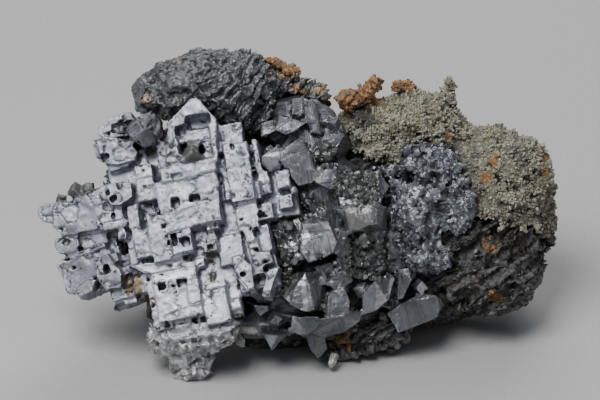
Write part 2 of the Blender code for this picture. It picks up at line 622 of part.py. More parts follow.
CRYSTAL_GRAINS = [
    ((98.6, 44.6, 19.0), 2.4, 1), ((106.0, 47.0, 17.0), 2.8, 2), ((81.0, 45.4, 19.6), 2.2, 3),
    ((96.6, 58.4, 22.4), 2.4, 4), ((86.4, 68.0, 24.6), 2.2, 6),
    ((86.0, 76.0, 24.8), 2.4, 8), ((109.0, 72.0, 23.6), 2.4, 10), ((109.4, 77.6, 20.8), 2.8, 12),
    ((84.0, 85.6, 24.0), 2.2, 13), ((82.6, 95.2, 21.6), 2.6, 14), ((108.6, 86.8, 19.6), 2.8, 16),
    ((126.0, 86.0, 14.4), 2.6, 19), ((100.0, 37.0, 15.6), 2.6, 20),
]


def galena_crystal_solids(grow=0.0):
    solids = [crystal(front, back_out, grow) for front, back_out in CRYSTALS]
    for place, radii, seed, corners in CRYSTAL_ROOTS:
        solids.append(chunk(place, radii, seed, corners, grow))
    for place, radius, seed in CRYSTAL_GRAINS:
        solids.append(grain(place, radius, seed, grow=grow))
    return solids


# Lumps: place, radii, seed, corners
ROCK_CHUNKS = [
    ((66.0, 62.0, -12.0), (38.0, 34.0, 24.0), 61, 28),
    ((104.0, 66.0, -14.0), (44.0, 36.0, 25.0), 63, 28),
    ((137.0, 72.0, -10.0), (33.0, 28.0, 25.0), 66, 28),
    ((150.0, 84.0, -2.0), (15.6, 13.6, 15.0), 64, 24),
    ((142.0, 82.0, 4.0), (14.0, 10.0, 12.0), 65, 22),
    ((110.0, 98.0, 3.0), (16.0, 9.6, 12.0), 67, 24),
    ((84.0, 90.0, -14.0), (46.0, 20.0, 26.0), 68, 26),
    ((34.0, 76.0, 2.0), (15.0, 14.0, 9.0), 69, 20),
]
# Ledges that rise to the right on the rock: left end, right end, how far out, thickness
ROCK_LEDGES = [
    ((128.0, 80.0), (150.0, 66.0), 15.0, 2.6),
    ((131.0, 86.0), (156.0, 70.0), 14.0, 3.0),
    ((134.0, 91.0), (161.0, 75.4), 13.0, 2.4),
    ((139.0, 93.6), (160.0, 81.0), 13.6, 2.8),
    ((146.0, 94.4), (159.0, 87.6), 11.0, 2.4),
    ((104.0, 104.0), (121.0, 97.0), 14.0, 3.0),
    ((100.0, 108.0), (114.0, 104.4), 11.0, 2.6),
]
BLENDE_CHUNKS = [
    ((56.0, 27.0, -1.0), (16.0, 12.6, 20.0), 51, 34),
    ((72.0, 27.0, 3.0), (13.0, 13.6, 17.0), 52, 30),
    ((44.6, 28.0, 2.0), (7.0, 8.0, 12.0), 53, 20),
    ((64.0, 20.4, -8.0), (16.0, 7.8, 16.0), 54, 24),
    ((84.0, 25.0, -2.0), (9.0, 7.0, 12.0), 55, 20),
    ((92.6, 29.4, -1.0), (8.0, 5.6, 11.0), 56, 20),
]
# Plates on the blende lump
BLENDE_LEDGES = [
    ((66.0, 34.0), (74.0, 16.0), 16.0, 2.4),
    ((69.6, 37.0), (78.0, 17.0), 16.6, 2.2),
    ((73.4, 39.0), (81.4, 20.0), 17.0, 2.2),
    ((77.2, 39.6), (84.0, 26.0), 15.0, 2.4),
    ((44.0, 22.4), (56.0, 17.0), 12.0, 2.2),
    ((47.0, 27.4), (62.0, 20.4), 16.4, 2.4),
    ((50.0, 33.0), (64.0, 26.0), 18.4, 2.2),
]
GRANULAR_CHUNKS = [
    ((129.5, 50.0, 10.0), (11.0, 9.0, 9.6), 41, 20),
    ((125.0, 63.0, 11.0), (11.6, 12.0, 11.6), 42, 20),
    ((137.0, 61.0, 9.0), (9.4, 12.0, 10.0), 43, 20),
    ((127.5, 77.0, 11.0), (11.6, 6.6, 9.6), 44, 18),
    ((112.0, 56.4, 9.0), (9.0, 6.4, 10.0), 45, 16),
]
GRANULAR_GRAINS = 14
GRANULAR_GRAIN_SIZES = (2.0, 3.4)
GRANULAR_SEED = 400
CRUST_CHUNKS = [
    ((124.0, 41.0, -9.0), (19.6, 15.6, 25.0), 71, 40),
    ((149.0, 56.0, -7.0), (21.4, 20.4, 25.0), 72, 40),
    ((111.0, 38.6, -6.0), (11.0, 11.4, 19.0), 73, 30),
    ((154.0, 66.0, -14.0), (16.0, 17.0, 24.0), 75, 34),
    ((118.0, 45.0, 2.0), (9.6, 8.6, 12.0), 76, 26),
    ((135.0, 28.6, -10.0), (4.0, 5.6, 4.6), 74, 18),
]
CRUST_GRAINS = 15
CRUST_GRAIN_SIZES = (2.0, 3.6)
CRUST_SEED = 700


def ledge(row, grow=0.0):
    """A thin plate that stands out of the lump behind it along a slanting line."""
    (left, low), (right, high), out, thickness = row
    along = Vector((right - left, high - low)).normalized()
    across = Vector((-along.y, along.x)) * (thickness / 2 + grow)
    start = Vector((left, low)) - along * grow * 2
    end = Vector((right, high)) + along * grow * 2
    crest = start.lerp(end, LEDGE_CREST_AT)
    points = []
    for side, top in ((-1, out), (1, out - LEDGE_SLOPE)):
        for spot, level in (
            (start, top - LEDGE_END_DROP),
            (end, top - LEDGE_END_DROP),
            (crest, top),
            (start, out - LEDGE_ROOT),
            (end, out - LEDGE_ROOT),
        ):
            place = spot + across * side
            points.append(world(place.x, place.y, level + grow * SQUARE_CORNER))
    return hull(points)


def chunks(rows, grow=0.0):
    return [chunk(place, radii, seed, corners, grow) for place, radii, seed, corners in rows]


def grains_on(rows, count, seed, sizes, cube, grow=0.0):
    """Small crystals spread over the outer side of the lumps."""
    rng = random.Random(seed)
    solids = []
    for index in range(count):
        place, radii, _, _ = rows[index % len(rows)]
        across = rng.gauss(0, SPREAD_ROUND)
        up = rng.gauss(SPREAD_UP, SPREAD_ROUND)
        out = abs(rng.gauss(SPREAD_OUT, SPREAD_OUT))
        aim = Vector((across, up, out)).normalized() * SET_IN
        spot = (place[0] + aim.x * radii[0], place[1] - aim.y * radii[1], place[2] + aim.z * radii[2])
        solids.append(grain(spot, rng.uniform(*sizes), seed + index, cube, grow))
    return solids


def rock_solids(grow=0.0):
    return chunks(ROCK_CHUNKS, grow) + [ledge(row, grow) for row in ROCK_LEDGES]


def crust_solids(grow=0.0):
    grains = grains_on(CRUST_CHUNKS, CRUST_GRAINS, CRUST_SEED, CRUST_GRAIN_SIZES, False, grow)
    return chunks(CRUST_CHUNKS, grow) + grains


def blende_solids(grow=0.0):
    return chunks(BLENDE_CHUNKS, grow) + [ledge(row, grow) for row in BLENDE_LEDGES]


def granular_solids(grow=0.0):
    grains = grains_on(GRANULAR_CHUNKS, GRANULAR_GRAINS, GRANULAR_SEED, GRANULAR_GRAIN_SIZES, True, grow)
    return chunks(GRANULAR_CHUNKS, grow) + grains


# Crumbly iron oxide where the lumps meet: place, radii, seed, corners
LIMONITE = {
    "limonite_left": [
        ((81.6, 19.4, 2.0), (5.0, 3.0, 6.0), 81, 16),
        ((86.6, 22.0, 3.0), (4.6, 3.2, 6.0), 82, 16),
        ((92.4, 25.4, 4.0), (4.2, 2.6, 6.0), 86, 14),
        ((96.8, 27.2, 3.0), (3.4, 2.2, 5.4), 89, 12),
    ],
    "limonite_middle": [
        ((105.0, 29.6, 6.0), (5.4, 3.6, 7.0), 83, 18),
        ((110.4, 27.4, 5.0), (3.6, 3.4, 6.0), 88, 14),
        ((112.8, 24.6, 2.4), (2.8, 3.0, 5.0), 84, 12),
    ],
    "limonite_right": [((121.6, 25.6, -2.0), (4.6, 2.4, 6.0), 85, 14)],
}

# Clear points under the front edge: root, tip, radius
QUARTZ_POINTS = {
    "quartz_point_1": ((72.0, 98.6, 20.6), (77.6, 99.2, 22.6), 1.1),
    "quartz_point_2": ((69.4, 98.4, 18.0), (73.4, 104.0, 20.4), 1.6),
    "quartz_point_3": ((100.4, 106.4, 12.6), (99.2, 110.6, 14.0), 1.3),
}


def quartz_point(root, tip, radius):
    """A six-sided prism with a blunt point at its free end."""
    start = world(*root)
    end = world(*tip)
    axis = (end - start).normalized()
    turn = axis.to_track_quat("Z", "Y").to_matrix()
    points = [end]
    for index in range(6):
        angle = math.tau * index / 6
        ring = turn @ Vector((math.cos(angle) * radius, math.sin(angle) * radius, 0))
        points.append(start + ring)
        points.append(end - axis * radius + ring)
    return hull(points)


def make(name, kind, solids, cutters):
    """One mineral: its solids joined, its neighbours' room cut away, and the table below."""
    solid = joined(solids)
    if cutters:
        boolean(solid, "DIFFERENCE", cutters)
    boolean(solid, "DIFFERENCE", [table_top()])
    finish(solid, name, kind)


def skeletal_galena():
    solid = joined(skeletal_solids())
    boolean(solid, "DIFFERENCE", skeletal_pits())
    fillings = frame_fillings()
    boolean(solid, "UNION", fillings)
    boolean(solid, "DIFFERENCE", rock_solids(GAP))
    boolean(solid, "DIFFERENCE", [table_top()])
    finish(solid, "skeletal_galena", "bright_galena")


def set_down():
    """Puts the ground at zero and the middle of the plan at the origin."""
    corners = []
    for obj in bpy.data.objects:
        corners += [vert.co for vert in obj.data.vertices]
    low = [min(corner[axis] for corner in corners) for axis in range(3)]
    high = [max(corner[axis] for corner in corners) for axis in range(3)]
    shift = Vector((-(low[0] + high[0]) / 2, -(low[1] + high[1]) / 2, -low[2]))
    for obj in bpy.data.objects:
        obj.data.transform(Matrix.Translation(shift))


def main():
    for obj in list(bpy.data.objects):
        bpy.data.objects.remove(obj, do_unlink=True)
    make("host_rock", "rock", rock_solids(), [])
    make("quartz_crust", "quartz", crust_solids(), rock_solids(GAP))
    skeletal_galena()
    make("galena_crystals", "dark_galena", galena_crystal_solids(),
         rock_solids(GAP) + crust_solids(GAP) + skeletal_solids(GAP))
    make("granular_galena", "blue_galena", granular_solids(),
         rock_solids(GAP) + crust_solids(GAP) + galena_crystal_solids(GAP))
    make("blende_lump", "blende", blende_solids(),
         rock_solids(GAP) + crust_solids(GAP) + skeletal_solids(GAP) + galena_crystal_solids(GAP))
    for name, rows in LIMONITE.items():
        make(name, "limonite", chunks(rows),
             rock_solids(CRUMBLY_GAP) + crust_solids(CRUMBLY_GAP) + blende_solids(CRUMBLY_GAP)
             + galena_crystal_solids(CRUMBLY_GAP) + granular_solids(CRUMBLY_GAP))
    for name, point in QUARTZ_POINTS.items():
        make(name, "quartz", [quartz_point(*point)],
             rock_solids(GAP) + skeletal_solids(GAP) + galena_crystal_solids(GAP))
    set_down()


main()
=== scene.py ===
"""Skeletal galena on its rock: the looks of a hand-sized mineral specimen.

Each mineral's solid gets a fine skin, which is then worked as the real surface is: stepped, pitted,
split or grown over with small crystals. Lengths are in millimetres until a mesh is written.
"""

import itertools
import json
import math

import bpy
import numpy as np
from mathutils import Matrix, Vector
from mathutils.bvhtree import BVHTree

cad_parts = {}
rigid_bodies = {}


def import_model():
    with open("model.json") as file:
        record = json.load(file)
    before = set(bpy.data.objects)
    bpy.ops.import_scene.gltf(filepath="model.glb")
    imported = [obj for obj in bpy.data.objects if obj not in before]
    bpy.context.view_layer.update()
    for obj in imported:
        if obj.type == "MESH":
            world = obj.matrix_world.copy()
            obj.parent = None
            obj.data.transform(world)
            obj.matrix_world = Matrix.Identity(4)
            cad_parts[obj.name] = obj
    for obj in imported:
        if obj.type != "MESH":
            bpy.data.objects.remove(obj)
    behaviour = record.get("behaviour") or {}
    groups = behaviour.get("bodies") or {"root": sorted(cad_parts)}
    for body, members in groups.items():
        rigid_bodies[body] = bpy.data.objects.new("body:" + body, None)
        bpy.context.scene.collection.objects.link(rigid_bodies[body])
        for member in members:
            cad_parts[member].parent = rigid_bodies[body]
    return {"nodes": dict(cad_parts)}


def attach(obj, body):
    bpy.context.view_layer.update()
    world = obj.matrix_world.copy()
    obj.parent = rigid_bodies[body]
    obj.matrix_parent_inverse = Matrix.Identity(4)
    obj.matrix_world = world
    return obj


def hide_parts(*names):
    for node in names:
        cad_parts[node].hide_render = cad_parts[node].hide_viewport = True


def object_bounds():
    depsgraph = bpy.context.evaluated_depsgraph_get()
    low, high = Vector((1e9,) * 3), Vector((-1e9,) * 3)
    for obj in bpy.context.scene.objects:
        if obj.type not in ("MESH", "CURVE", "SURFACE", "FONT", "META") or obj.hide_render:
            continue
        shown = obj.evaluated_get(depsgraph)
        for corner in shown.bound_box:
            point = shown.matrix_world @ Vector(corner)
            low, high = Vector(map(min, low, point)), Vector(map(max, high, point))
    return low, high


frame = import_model()
cad_low, cad_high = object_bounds()


# Host rock
# The dark broken rock that carries all the minerals. It split along ledges that rise to the right,
# and small faces in it catch the light. It rests on one flat broken face.

MM = 0.001
LEAN_BACK = math.radians(27.0)
SHEET_MIDDLE = np.array((-0.1, 3.9, 40.8))
SHEET_WIDTH = 180.0
SHEET_HEIGHT = 120.0
SHEET_RIGHT = np.array((1.0, 0.0, 0.0))
SHEET_UP = np.array((0.0, math.sin(LEAN_BACK), math.cos(LEAN_BACK)))
SHEET_OUT = np.array((0.0, -math.cos(LEAN_BACK), math.sin(LEAN_BACK)))


def on_sheet(points):
    """Where points show on the display face: across it, down it and out of it."""
    away = points - SHEET_MIDDLE
    across = away @ SHEET_RIGHT + SHEET_WIDTH / 2
    down = SHEET_HEIGHT / 2 - away @ SHEET_UP
    return np.stack((across, down, away @ SHEET_OUT), axis=1)


def skin(node, name, grain, softening):
    """A fine even skin over a solid: the new piece, its points and the way each of them faces."""
    mesh = bpy.data.objects[node].data.copy()
    piece = bpy.data.objects.new(name, mesh)
    bpy.context.scene.collection.objects.link(piece)
    seams = piece.modifiers.new("Seams", "WELD")
    seams.merge_threshold = 0.000001
    cover = piece.modifiers.new("Cover", "REMESH")
    cover.mode = "VOXEL"
    cover.voxel_size = grain * MM
    soften = piece.modifiers.new("Soften", "SMOOTH")
    soften.iterations = softening
    graph = bpy.context.evaluated_depsgraph_get()
    piece.data = bpy.data.meshes.new_from_object(piece.evaluated_get(graph))
    piece.modifiers.clear()
    piece.data.materials.clear()
    piece.data.shade_smooth()
    points = np.empty(len(piece.data.vertices) * 3)
    piece.data.vertices.foreach_get("co", points)
    return piece, points.reshape(-1, 3) / MM, facing_of(piece)


def facing_of(piece):
    """Which way a piece's surface looks at each of its points."""
    facing = np.empty(len(piece.data.vertices) * 3)
    piece.data.vertex_normals.foreach_get("vector", facing)
    return facing.reshape(-1, 3)


def work(piece, points):
    """Writes worked points back, kept inside the specimen's box."""
    low = np.array(cad_low) / MM
    high = np.array(cad_high) / MM
    kept = np.clip(points, low, high) * MM
    piece.data.vertices.foreach_set("co", kept.ravel())
    piece.data.update()


def sunken(piece, points, facing, passes):
    """How far each point lies below the general surface round it, in millimetres."""
    copy = bpy.data.objects.new("general", piece.data)
    bpy.context.scene.collection.objects.link(copy)
    even = copy.modifiers.new("Even", "SMOOTH")
    even.iterations = passes
    graph = bpy.context.evaluated_depsgraph_get()
    general = np.empty(len(points) * 3)
    copy.evaluated_get(graph).data.vertices.foreach_get("co", general)
    bpy.data.objects.remove(copy)
    return ((general.reshape(-1, 3) / MM - points) * facing).sum(axis=1)


def stain(piece, name, values):
    """Keeps a value between 0 and 1 at each point for the material to read."""
    layer = piece.data.attributes.new(name, "FLOAT", "POINT")
    layer.data.foreach_set("value", np.clip(values, 0, 1).astype(np.float32))


def chance(cells, seed):
    """A settled number between 0 and 1 for each cell of a grid."""
    x, y, z = (cells[:, axis].astype(np.int64) for axis in range(3))
    mixed = (x * 73856093) ^ (y * 19349663) ^ (z * 83492791) ^ (seed * 40503417)
    mixed = ((mixed ^ (mixed >> 13)) * 1274126177) & 0xFFFFFFFF
    mixed = ((mixed ^ (mixed >> 15)) * 668265263) & 0xFFFFFFFF
    return ((mixed ^ (mixed >> 16)) & 0xFFFFFF) / 0xFFFFFF


def rolling(points, seed):
    """Smooth hills and hollows between -1 and 1, one unit apart."""
    base = np.floor(points)
    inside = points - base
    inside = inside * inside * (3 - 2 * inside)
    total = np.zeros(len(points))
    for corner in itertools.product((0, 1), repeat=3):
        share = np.prod(np.where(np.array(corner) == 1, inside, 1 - inside), axis=1)
        total += share * chance(base + corner, seed)
    return total * 2 - 1


def rough(points, seed, octaves=4):
    """Hills with smaller hills on them."""
    total = np.zeros(len(points))
    size = 1.0
    for octave in range(octaves):
        total += rolling(points * 2**octave, seed + octave) * size
        size *= 0.55
    return total / 1.8


def chips_and_edges(points, seed):
    """Flat tilted chips in scattered cells: how high each point is, and how near a chip's edge."""
    base = np.floor(points)
    nearest = np.full(len(points), 9.0)
    second = np.full(len(points), 9.0)
    height = np.zeros(len(points))
    for step in itertools.product((-1, 0, 1), repeat=3):
        cell = base + step
        spot = cell + np.stack([chance(cell, seed + axis) for axis in range(3)], axis=1)
        away = points - spot
        far = (away**2).sum(axis=1)
        tilt = np.stack([chance(cell, seed + 3 + axis) for axis in range(3)], axis=1) - 0.5
        closer = far < nearest
        second = np.where(closer, nearest, np.minimum(second, far))
        height = np.where(closer, (away * tilt).sum(axis=1) * 2, height)
        nearest = np.where(closer, far, nearest)
    return height, np.sqrt(second) - np.sqrt(nearest)


def chips(points, seed):
    """How high each point is on flat tilted chips."""
    return chips_and_edges(points, seed)[0]


def shingles(places, seed):
    """Broken plates that overlap like roof shingles, from 0 where one is set in to 1 at its edge."""
    wander = rough(places * (0.6, 0.5, 0.6), seed, 3)
    row = places[:, 1] + 0.9 * wander
    course = np.floor(row)
    none = np.zeros(len(places))
    shift = chance(np.stack((course, none, none), axis=1), seed + 5) * 3
    length = np.floor(places[:, 0] + shift + 0.5 * rolling(places * 1.3, seed + 6))
    standing = 0.25 + 0.75 * chance(np.stack((course, length, np.floor(places[:, 2])), axis=1), seed + 7)
    return (row - course) * standing


def slanted(sheet, rise, long, short, deep):
    """Sheet places measured along and across lines that rise to the right, in units of a size."""
    along = sheet[:, 0] * np.cos(rise) - sheet[:, 1] * np.sin(rise)
    across = sheet[:, 0] * np.sin(rise) + sheet[:, 1] * np.cos(rise)
    return np.stack((along / long, across / short, sheet[:, 2] / deep), axis=1)


SPOT_REACH = 22.0  # how far into the specimen, behind its display face, a spot still shows
SPOT_FADE = 8.0


def near(sheet, spots):
    """How close places on the display side are to any of the round spots: 1 at a spot's middle."""
    close = np.zeros(len(sheet))
    for across, down, radius in spots:
        away = np.hypot(sheet[:, 0] - across, sheet[:, 1] - down) / radius
        close = np.maximum(close, 1 - away)
    return np.clip(close, 0, 1) * np.clip((sheet[:, 2] + SPOT_REACH) / SPOT_FADE, 0, 1)


def patchy(points, seed, share, size=1.4):
    """Ragged patches that cover about this share, as rust and grime do."""
    return np.clip(0.5 + 2.2 * (rough(points / size, seed) - 0.9 + 1.8 * share), 0, 1)


def thinned(piece, share):
    """Keeps this share of a worked skin's triangles, most of them where it isn't flat."""
    thin = piece.modifiers.new("Thin", "DECIMATE")
    thin.ratio = share
    graph = bpy.context.evaluated_depsgraph_get()
    piece.data = bpy.data.meshes.new_from_object(piece.evaluated_get(graph))
    piece.modifiers.clear()


SHARD = [
    (1.7, 0.1, 0.1), (-1.5, -0.2, 0.0),  # its two ends
    (0.2, 0.75, 0.1), (-0.1, -0.8, 0.0),  # its sides
    (0.4, 0.1, 0.6), (0.0, 0.0, -0.7),  # its crest and its root
]
EIGHT_FACES = [[0, 2, 4], [2, 1, 4], [1, 3, 4], [3, 0, 4], [2, 0, 5], [1, 2, 5], [3, 1, 5], [0, 3, 5]]
AIR = 3.5  # nothing grows where another mineral stands this close in front
UNDER_SKIN = 0.4  # the look ahead starts this far under the skin


def open_to_air(points, facing, own):
    """Which points have no other mineral just in front of them."""
    corners = []
    faces = []
    for name, node in frame["nodes"].items():
        if name == own:
            continue
        start = len(corners)
        corners += [vert.co / MM for vert in node.data.vertices]
        faces += [[start + index for index in face.vertices] for face in node.data.polygons]
    others = BVHTree.FromPolygons(corners, faces)
    clear = []
    for point, way in zip(points, facing):
        direction = Vector(way)
        start = Vector(point) - direction * UNDER_SKIN
        clear.append(others.ray_cast(start, direction, AIR)[0] is None)
    return np.array(clear)


def grow_on(name, points, facing, count, seed, shape, faces, size, stretch, lean, own, keep=None, line=None):
    """Many small crystals or splinters, joined in one piece and rooted on points of a skin.

    Each leans its own way. Where a line is given, their long sides lie along it.
    """
    rng = np.random.default_rng(seed)
    allowed = np.flatnonzero(keep) if keep is not None else np.arange(len(points))
    chosen = rng.choice(allowed, min(count * 2, len(allowed)), replace=False)
    chosen = chosen[open_to_air(points[chosen], facing[chosen], own)][:count]
    count = len(chosen)
    axes = facing[chosen] + rng.normal(0, lean, (count, 3))
    axes /= np.linalg.norm(axes, axis=1)[:, None]
    along = rng.normal(0, 1, (count, 3)) if line is None else line + rng.normal(0, 0.25, (count, 3))
    third = np.cross(axes, along)
    third /= np.linalg.norm(third, axis=1)[:, None]
    sides = np.cross(third, axes)
    width = size[0] + (size[1] - size[0]) * rng.power(0.6, count)
    length = width * rng.uniform(*stretch, count)
    shape = np.array(shape)
    spread = (
        sides[:, None, :] * (shape[None, :, 0, None] * width[:, None, None])
        + third[:, None, :] * (shape[None, :, 1, None] * width[:, None, None])
        + axes[:, None, :] * (shape[None, :, 2, None] * length[:, None, None])
    )
    corners = points[chosen][:, None, :] + spread
    low = np.array(cad_low) / MM
    high = np.array(cad_high) / MM
    inside = np.all((corners > low) & (corners < high), axis=(1, 2))
    corners = corners[inside].reshape(-1, 3) * MM
    made = []
    for index in range(int(inside.sum())):
        start = index * len(shape)
        made += [[start + corner for corner in face] for face in faces]
    mesh = bpy.data.meshes.new(name)
    mesh.from_pydata(corners.tolist(), [], made)
    mesh.update()
    piece = bpy.data.objects.new(name, mesh)
    bpy.context.scene.collection.objects.link(piece)
    return piece


def mineral(name, roughness, metallic=0.0, ior=1.5):
    """A new material with the finish that is the same all over."""
    made = bpy.data.materials.new(name)
    made.use_nodes = True
    surface = made.node_tree.nodes["Principled BSDF"]
    surface.inputs["Roughness"].default_value = roughness
    surface.inputs["Metallic"].default_value = metallic
    surface.inputs["IOR"].default_value = ior
    return made, made.node_tree, surface


def grain_noise(tree, size, detail=5.0, distortion=0.0):
    """Noise whose largest grains are about this many millimetres."""
    place = tree.nodes.new("ShaderNodeTexCoord")
    node = tree.nodes.new("ShaderNodeTexNoise")
    node.inputs["Scale"].default_value = 1 / (size * MM)
    node.inputs["Detail"].default_value = detail
    node.inputs["Roughness"].default_value = 0.6
    node.inputs["Distortion"].default_value = distortion
    tree.links.new(place.outputs["Object"], node.inputs["Vector"])
    return node.outputs["Fac"]


def cells(tree, size):
    """Scattered cells about this many millimetres apart."""
    place = tree.nodes.new("ShaderNodeTexCoord")
    node = tree.nodes.new("ShaderNodeTexVoronoi")
    node.inputs["Scale"].default_value = 1 / (size * MM)
    tree.links.new(place.outputs["Object"], node.inputs["Vector"])
    return node


def kept(tree, name):
    """A value that the mesh keeps at its points."""
    node = tree.nodes.new("ShaderNodeAttribute")
    node.attribute_name = name
    return node.outputs["Fac"]


def tints(tree, value, stops):
    """Colours along a value."""
    node = tree.nodes.new("ShaderNodeValToRGB")
    ramp = node.color_ramp
    while len(ramp.elements) < len(stops):
        ramp.elements.new(0.5)
    for element, (place, colour) in zip(ramp.elements, stops):
        element.position = place
        element.color = (*colour, 1.0)
    tree.links.new(value, node.inputs["Fac"])
    return node.outputs["Color"]


def one_by_one(tree, stops):
    """Colours that differ from one joined crystal or splinter to the next."""
    node = tree.nodes.new("ShaderNodeNewGeometry")
    return tints(tree, node.outputs["Random Per Island"], stops)


def range_of(tree, value, low, high, start=0.0, end=1.0):
    """A value stretched from one range to another."""
    node = tree.nodes.new("ShaderNodeMapRange")
    node.inputs["From Min"].default_value = start
    node.inputs["From Max"].default_value = end
    node.inputs["To Min"].default_value = low
    node.inputs["To Max"].default_value = high
    tree.links.new(value, node.inputs["Value"])
    return node.outputs["Result"]


def frayed(tree, name, size=0.7):
    """A value that the mesh keeps, as a stain with its edge broken up by fine noise."""
    total = tree.nodes.new("ShaderNodeMath")
    total.operation = "ADD"
    tree.links.new(kept(tree, name), total.inputs[0])
    tree.links.new(range_of(tree, grain_noise(tree, size), -0.5, 0.5, 0.3, 0.7), total.inputs[1])
    return range_of(tree, total.outputs["Value"], 0.0, 1.0, 0.4, 0.62)


def mixed(tree, share, first, second, kind="MIX"):
    """Two colours mixed."""
    node = tree.nodes.new("ShaderNodeMix")
    node.data_type = "RGBA"
    node.blend_type = kind
    colour_a, colour_b = [s for s in node.inputs if s.type == "RGBA"]
    factor = [s for s in node.inputs if s.type == "VALUE"][0]
    for socket, value in ((factor, share), (colour_a, first), (colour_b, second)):
        if isinstance(value, bpy.types.NodeSocket):
            tree.links.new(value, socket)
        elif isinstance(value, float):
            socket.default_value = value
        else:
            socket.default_value = (*value, 1.0)
    return [s for s in node.outputs if s.type == "RGBA"][0]


def tinged(tree, base, name, share, colour):
    """A colour that takes on up to this share of another where the mesh keeps a value."""
    return mixed(tree, range_of(tree, kept(tree, name), 0.0, share), base, colour)


def relief(tree, height, depth, under=None):
    """Fine relief this many millimetres deep, on top of any other."""
    node = tree.nodes.new("ShaderNodeBump")
    node.inputs["Strength"].default_value = 1.0
    node.inputs["Distance"].default_value = depth * MM
    tree.links.new(height, node.inputs["Height"])
    if under is not None:
        tree.links.new(under, node.inputs["Normal"])
    return node.outputs["Normal"]


def glinting(tree, size, tilt, under):
    """Turns the small faces of the grains their own way, so that some catch the light."""
    grains = cells(tree, size)
    middle = tree.nodes.new("ShaderNodeVectorMath")
    middle.operation = "SUBTRACT"
    middle.inputs[1].default_value = (0.5, 0.5, 0.5)
    tree.links.new(grains.outputs["Color"], middle.inputs[0])
    scale = tree.nodes.new("ShaderNodeVectorMath")
    scale.operation = "SCALE"
    scale.inputs["Scale"].default_value = tilt
    tree.links.new(middle.outputs[0], scale.inputs[0])
    total = tree.nodes.new("ShaderNodeVectorMath")
    total.operation = "ADD"
    tree.links.new(scale.outputs[0], total.inputs[0])
    tree.links.new(under, total.inputs[1])
    unit = tree.nodes.new("ShaderNodeVectorMath")
    unit.operation = "NORMALIZE"
    tree.links.new(total.outputs[0], unit.inputs[0])
    return unit.outputs[0]


ROCK_RISE = math.radians(33.0)
RUST_ON_ROCK = [(148.0, 88.6, 4.0), (103.0, 103.0, 5.0), (125.0, 98.0, 7.0), (148.4, 74.0, 4.0)]

LEDGE = (13.0, 3.4, 8.0)  # along the rise, across it and into the rock
CHIP = (5.2, 2.0, 3.4)
SMALL_CHIP = (2.4, 1.1, 1.8)
LEDGE_STEP = 2.3
CHIP_STEP = 0.9
SMALL_CHIP_STEP = 0.5
CREVICE_DEPTH = 0.7
CALM_ABOVE_TABLE = 7.0  # the relief grows over this height, so that the base stays flat
ROCK_SPLINTERS = 3400

rock, points, facing = skin("host_rock", "rock_skin", 0.72, 2)
sheet = on_sheet(points)
ledges = shingles(slanted(sheet, ROCK_RISE, *LEDGE), 11)
chip_height, chip_edge = chips_and_edges(slanted(sheet, ROCK_RISE, *CHIP), 12)
small_height = chips(slanted(sheet, ROCK_RISE, *SMALL_CHIP), 14)
height = LEDGE_STEP * ledges + CHIP_STEP * chip_height + SMALL_CHIP_STEP * small_height
height = height + 0.4 * rough(points / 2.2, 13) - 1.9
height += 1.6 * rough(points / 11.0, 17, 2)
height -= CREVICE_DEPTH * np.clip(1 - chip_edge / 0.14, 0, 1)
off_table = np.clip(points[:, 2] / CALM_ABOVE_TABLE, 0, 1)
worked = points + facing * (height * off_table)[:, None]
work(rock, worked)
facing = facing_of(rock)
low_places = sunken(rock, worked, facing, 40)
rust_near = near(sheet, RUST_ON_ROCK)
stain(rock, "rust", patchy(points, 15, 0.15 + 0.7 * rust_near) * (rust_near > 0))
vein = np.abs(rolling(slanted(sheet, ROCK_RISE + 0.7, 22.0, 9.0, 16.0), 18) + 0.12 * rough(points / 3.0, 19))
stain(rock, "vein", (1 - vein / 0.035) * (sheet[:, 2] < 4.0))
# Painted shade: where the rock lies below the surface round it, its colour is darkened nearly to black.
stain(rock, "crevice_shade", low_places / 1.4)
# Painted highlight: where the rock stands above the surface round it, its colour is lightened.
stain(rock, "edge_highlight", -low_places / 1.0)
thinned(rock, 0.7)

rock_look, tree, surface = mineral("broken_rock", 0.5)
speckle = grain_noise(tree, 1.6)
patch = grain_noise(tree, 11.0, 3.0)
dark_rock = tints(tree, speckle, [(0.3, (0.012, 0.012, 0.013)), (0.5, (0.036, 0.037, 0.038)),
                                  (0.66, (0.085, 0.086, 0.085))])
brown_rock = tints(tree, speckle, [(0.3, (0.03, 0.025, 0.018)), (0.66, (0.13, 0.11, 0.085))])
body_colour = mixed(tree, range_of(tree, patch, 0.0, 1.0, 0.5, 0.66), dark_rock, brown_rock)
# painted highlight on the rock's raised places
body_colour = tinged(tree, body_colour, "edge_highlight", 0.75, (0.19, 0.192, 0.19))
# painted shade in the rock's crevices
body_colour = tinged(tree, body_colour, "crevice_shade", 0.9, (0.008, 0.008, 0.008))
rusted = tints(tree, grain_noise(tree, 1.2), [(0.3, (0.10, 0.047, 0.02)), (0.7, (0.44, 0.24, 0.085))])
body_colour = tinged(tree, body_colour, "vein", 0.7, (0.27, 0.265, 0.24))
tree.links.new(mixed(tree, frayed(tree, "rust"), body_colour, rusted), surface.inputs["Base Color"])
tree.links.new(range_of(tree, grain_noise(tree, 0.9), 0.18, 0.7, 0.35, 0.65), surface.inputs["Roughness"])
fine = relief(tree, grain_noise(tree, 0.8, 8.0), 0.5)
tree.links.new(glinting(tree, 0.9, 0.7, fine), surface.inputs["Normal"])
rock.data.materials.append(rock_look)
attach(rock, "root")
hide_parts("host_rock")

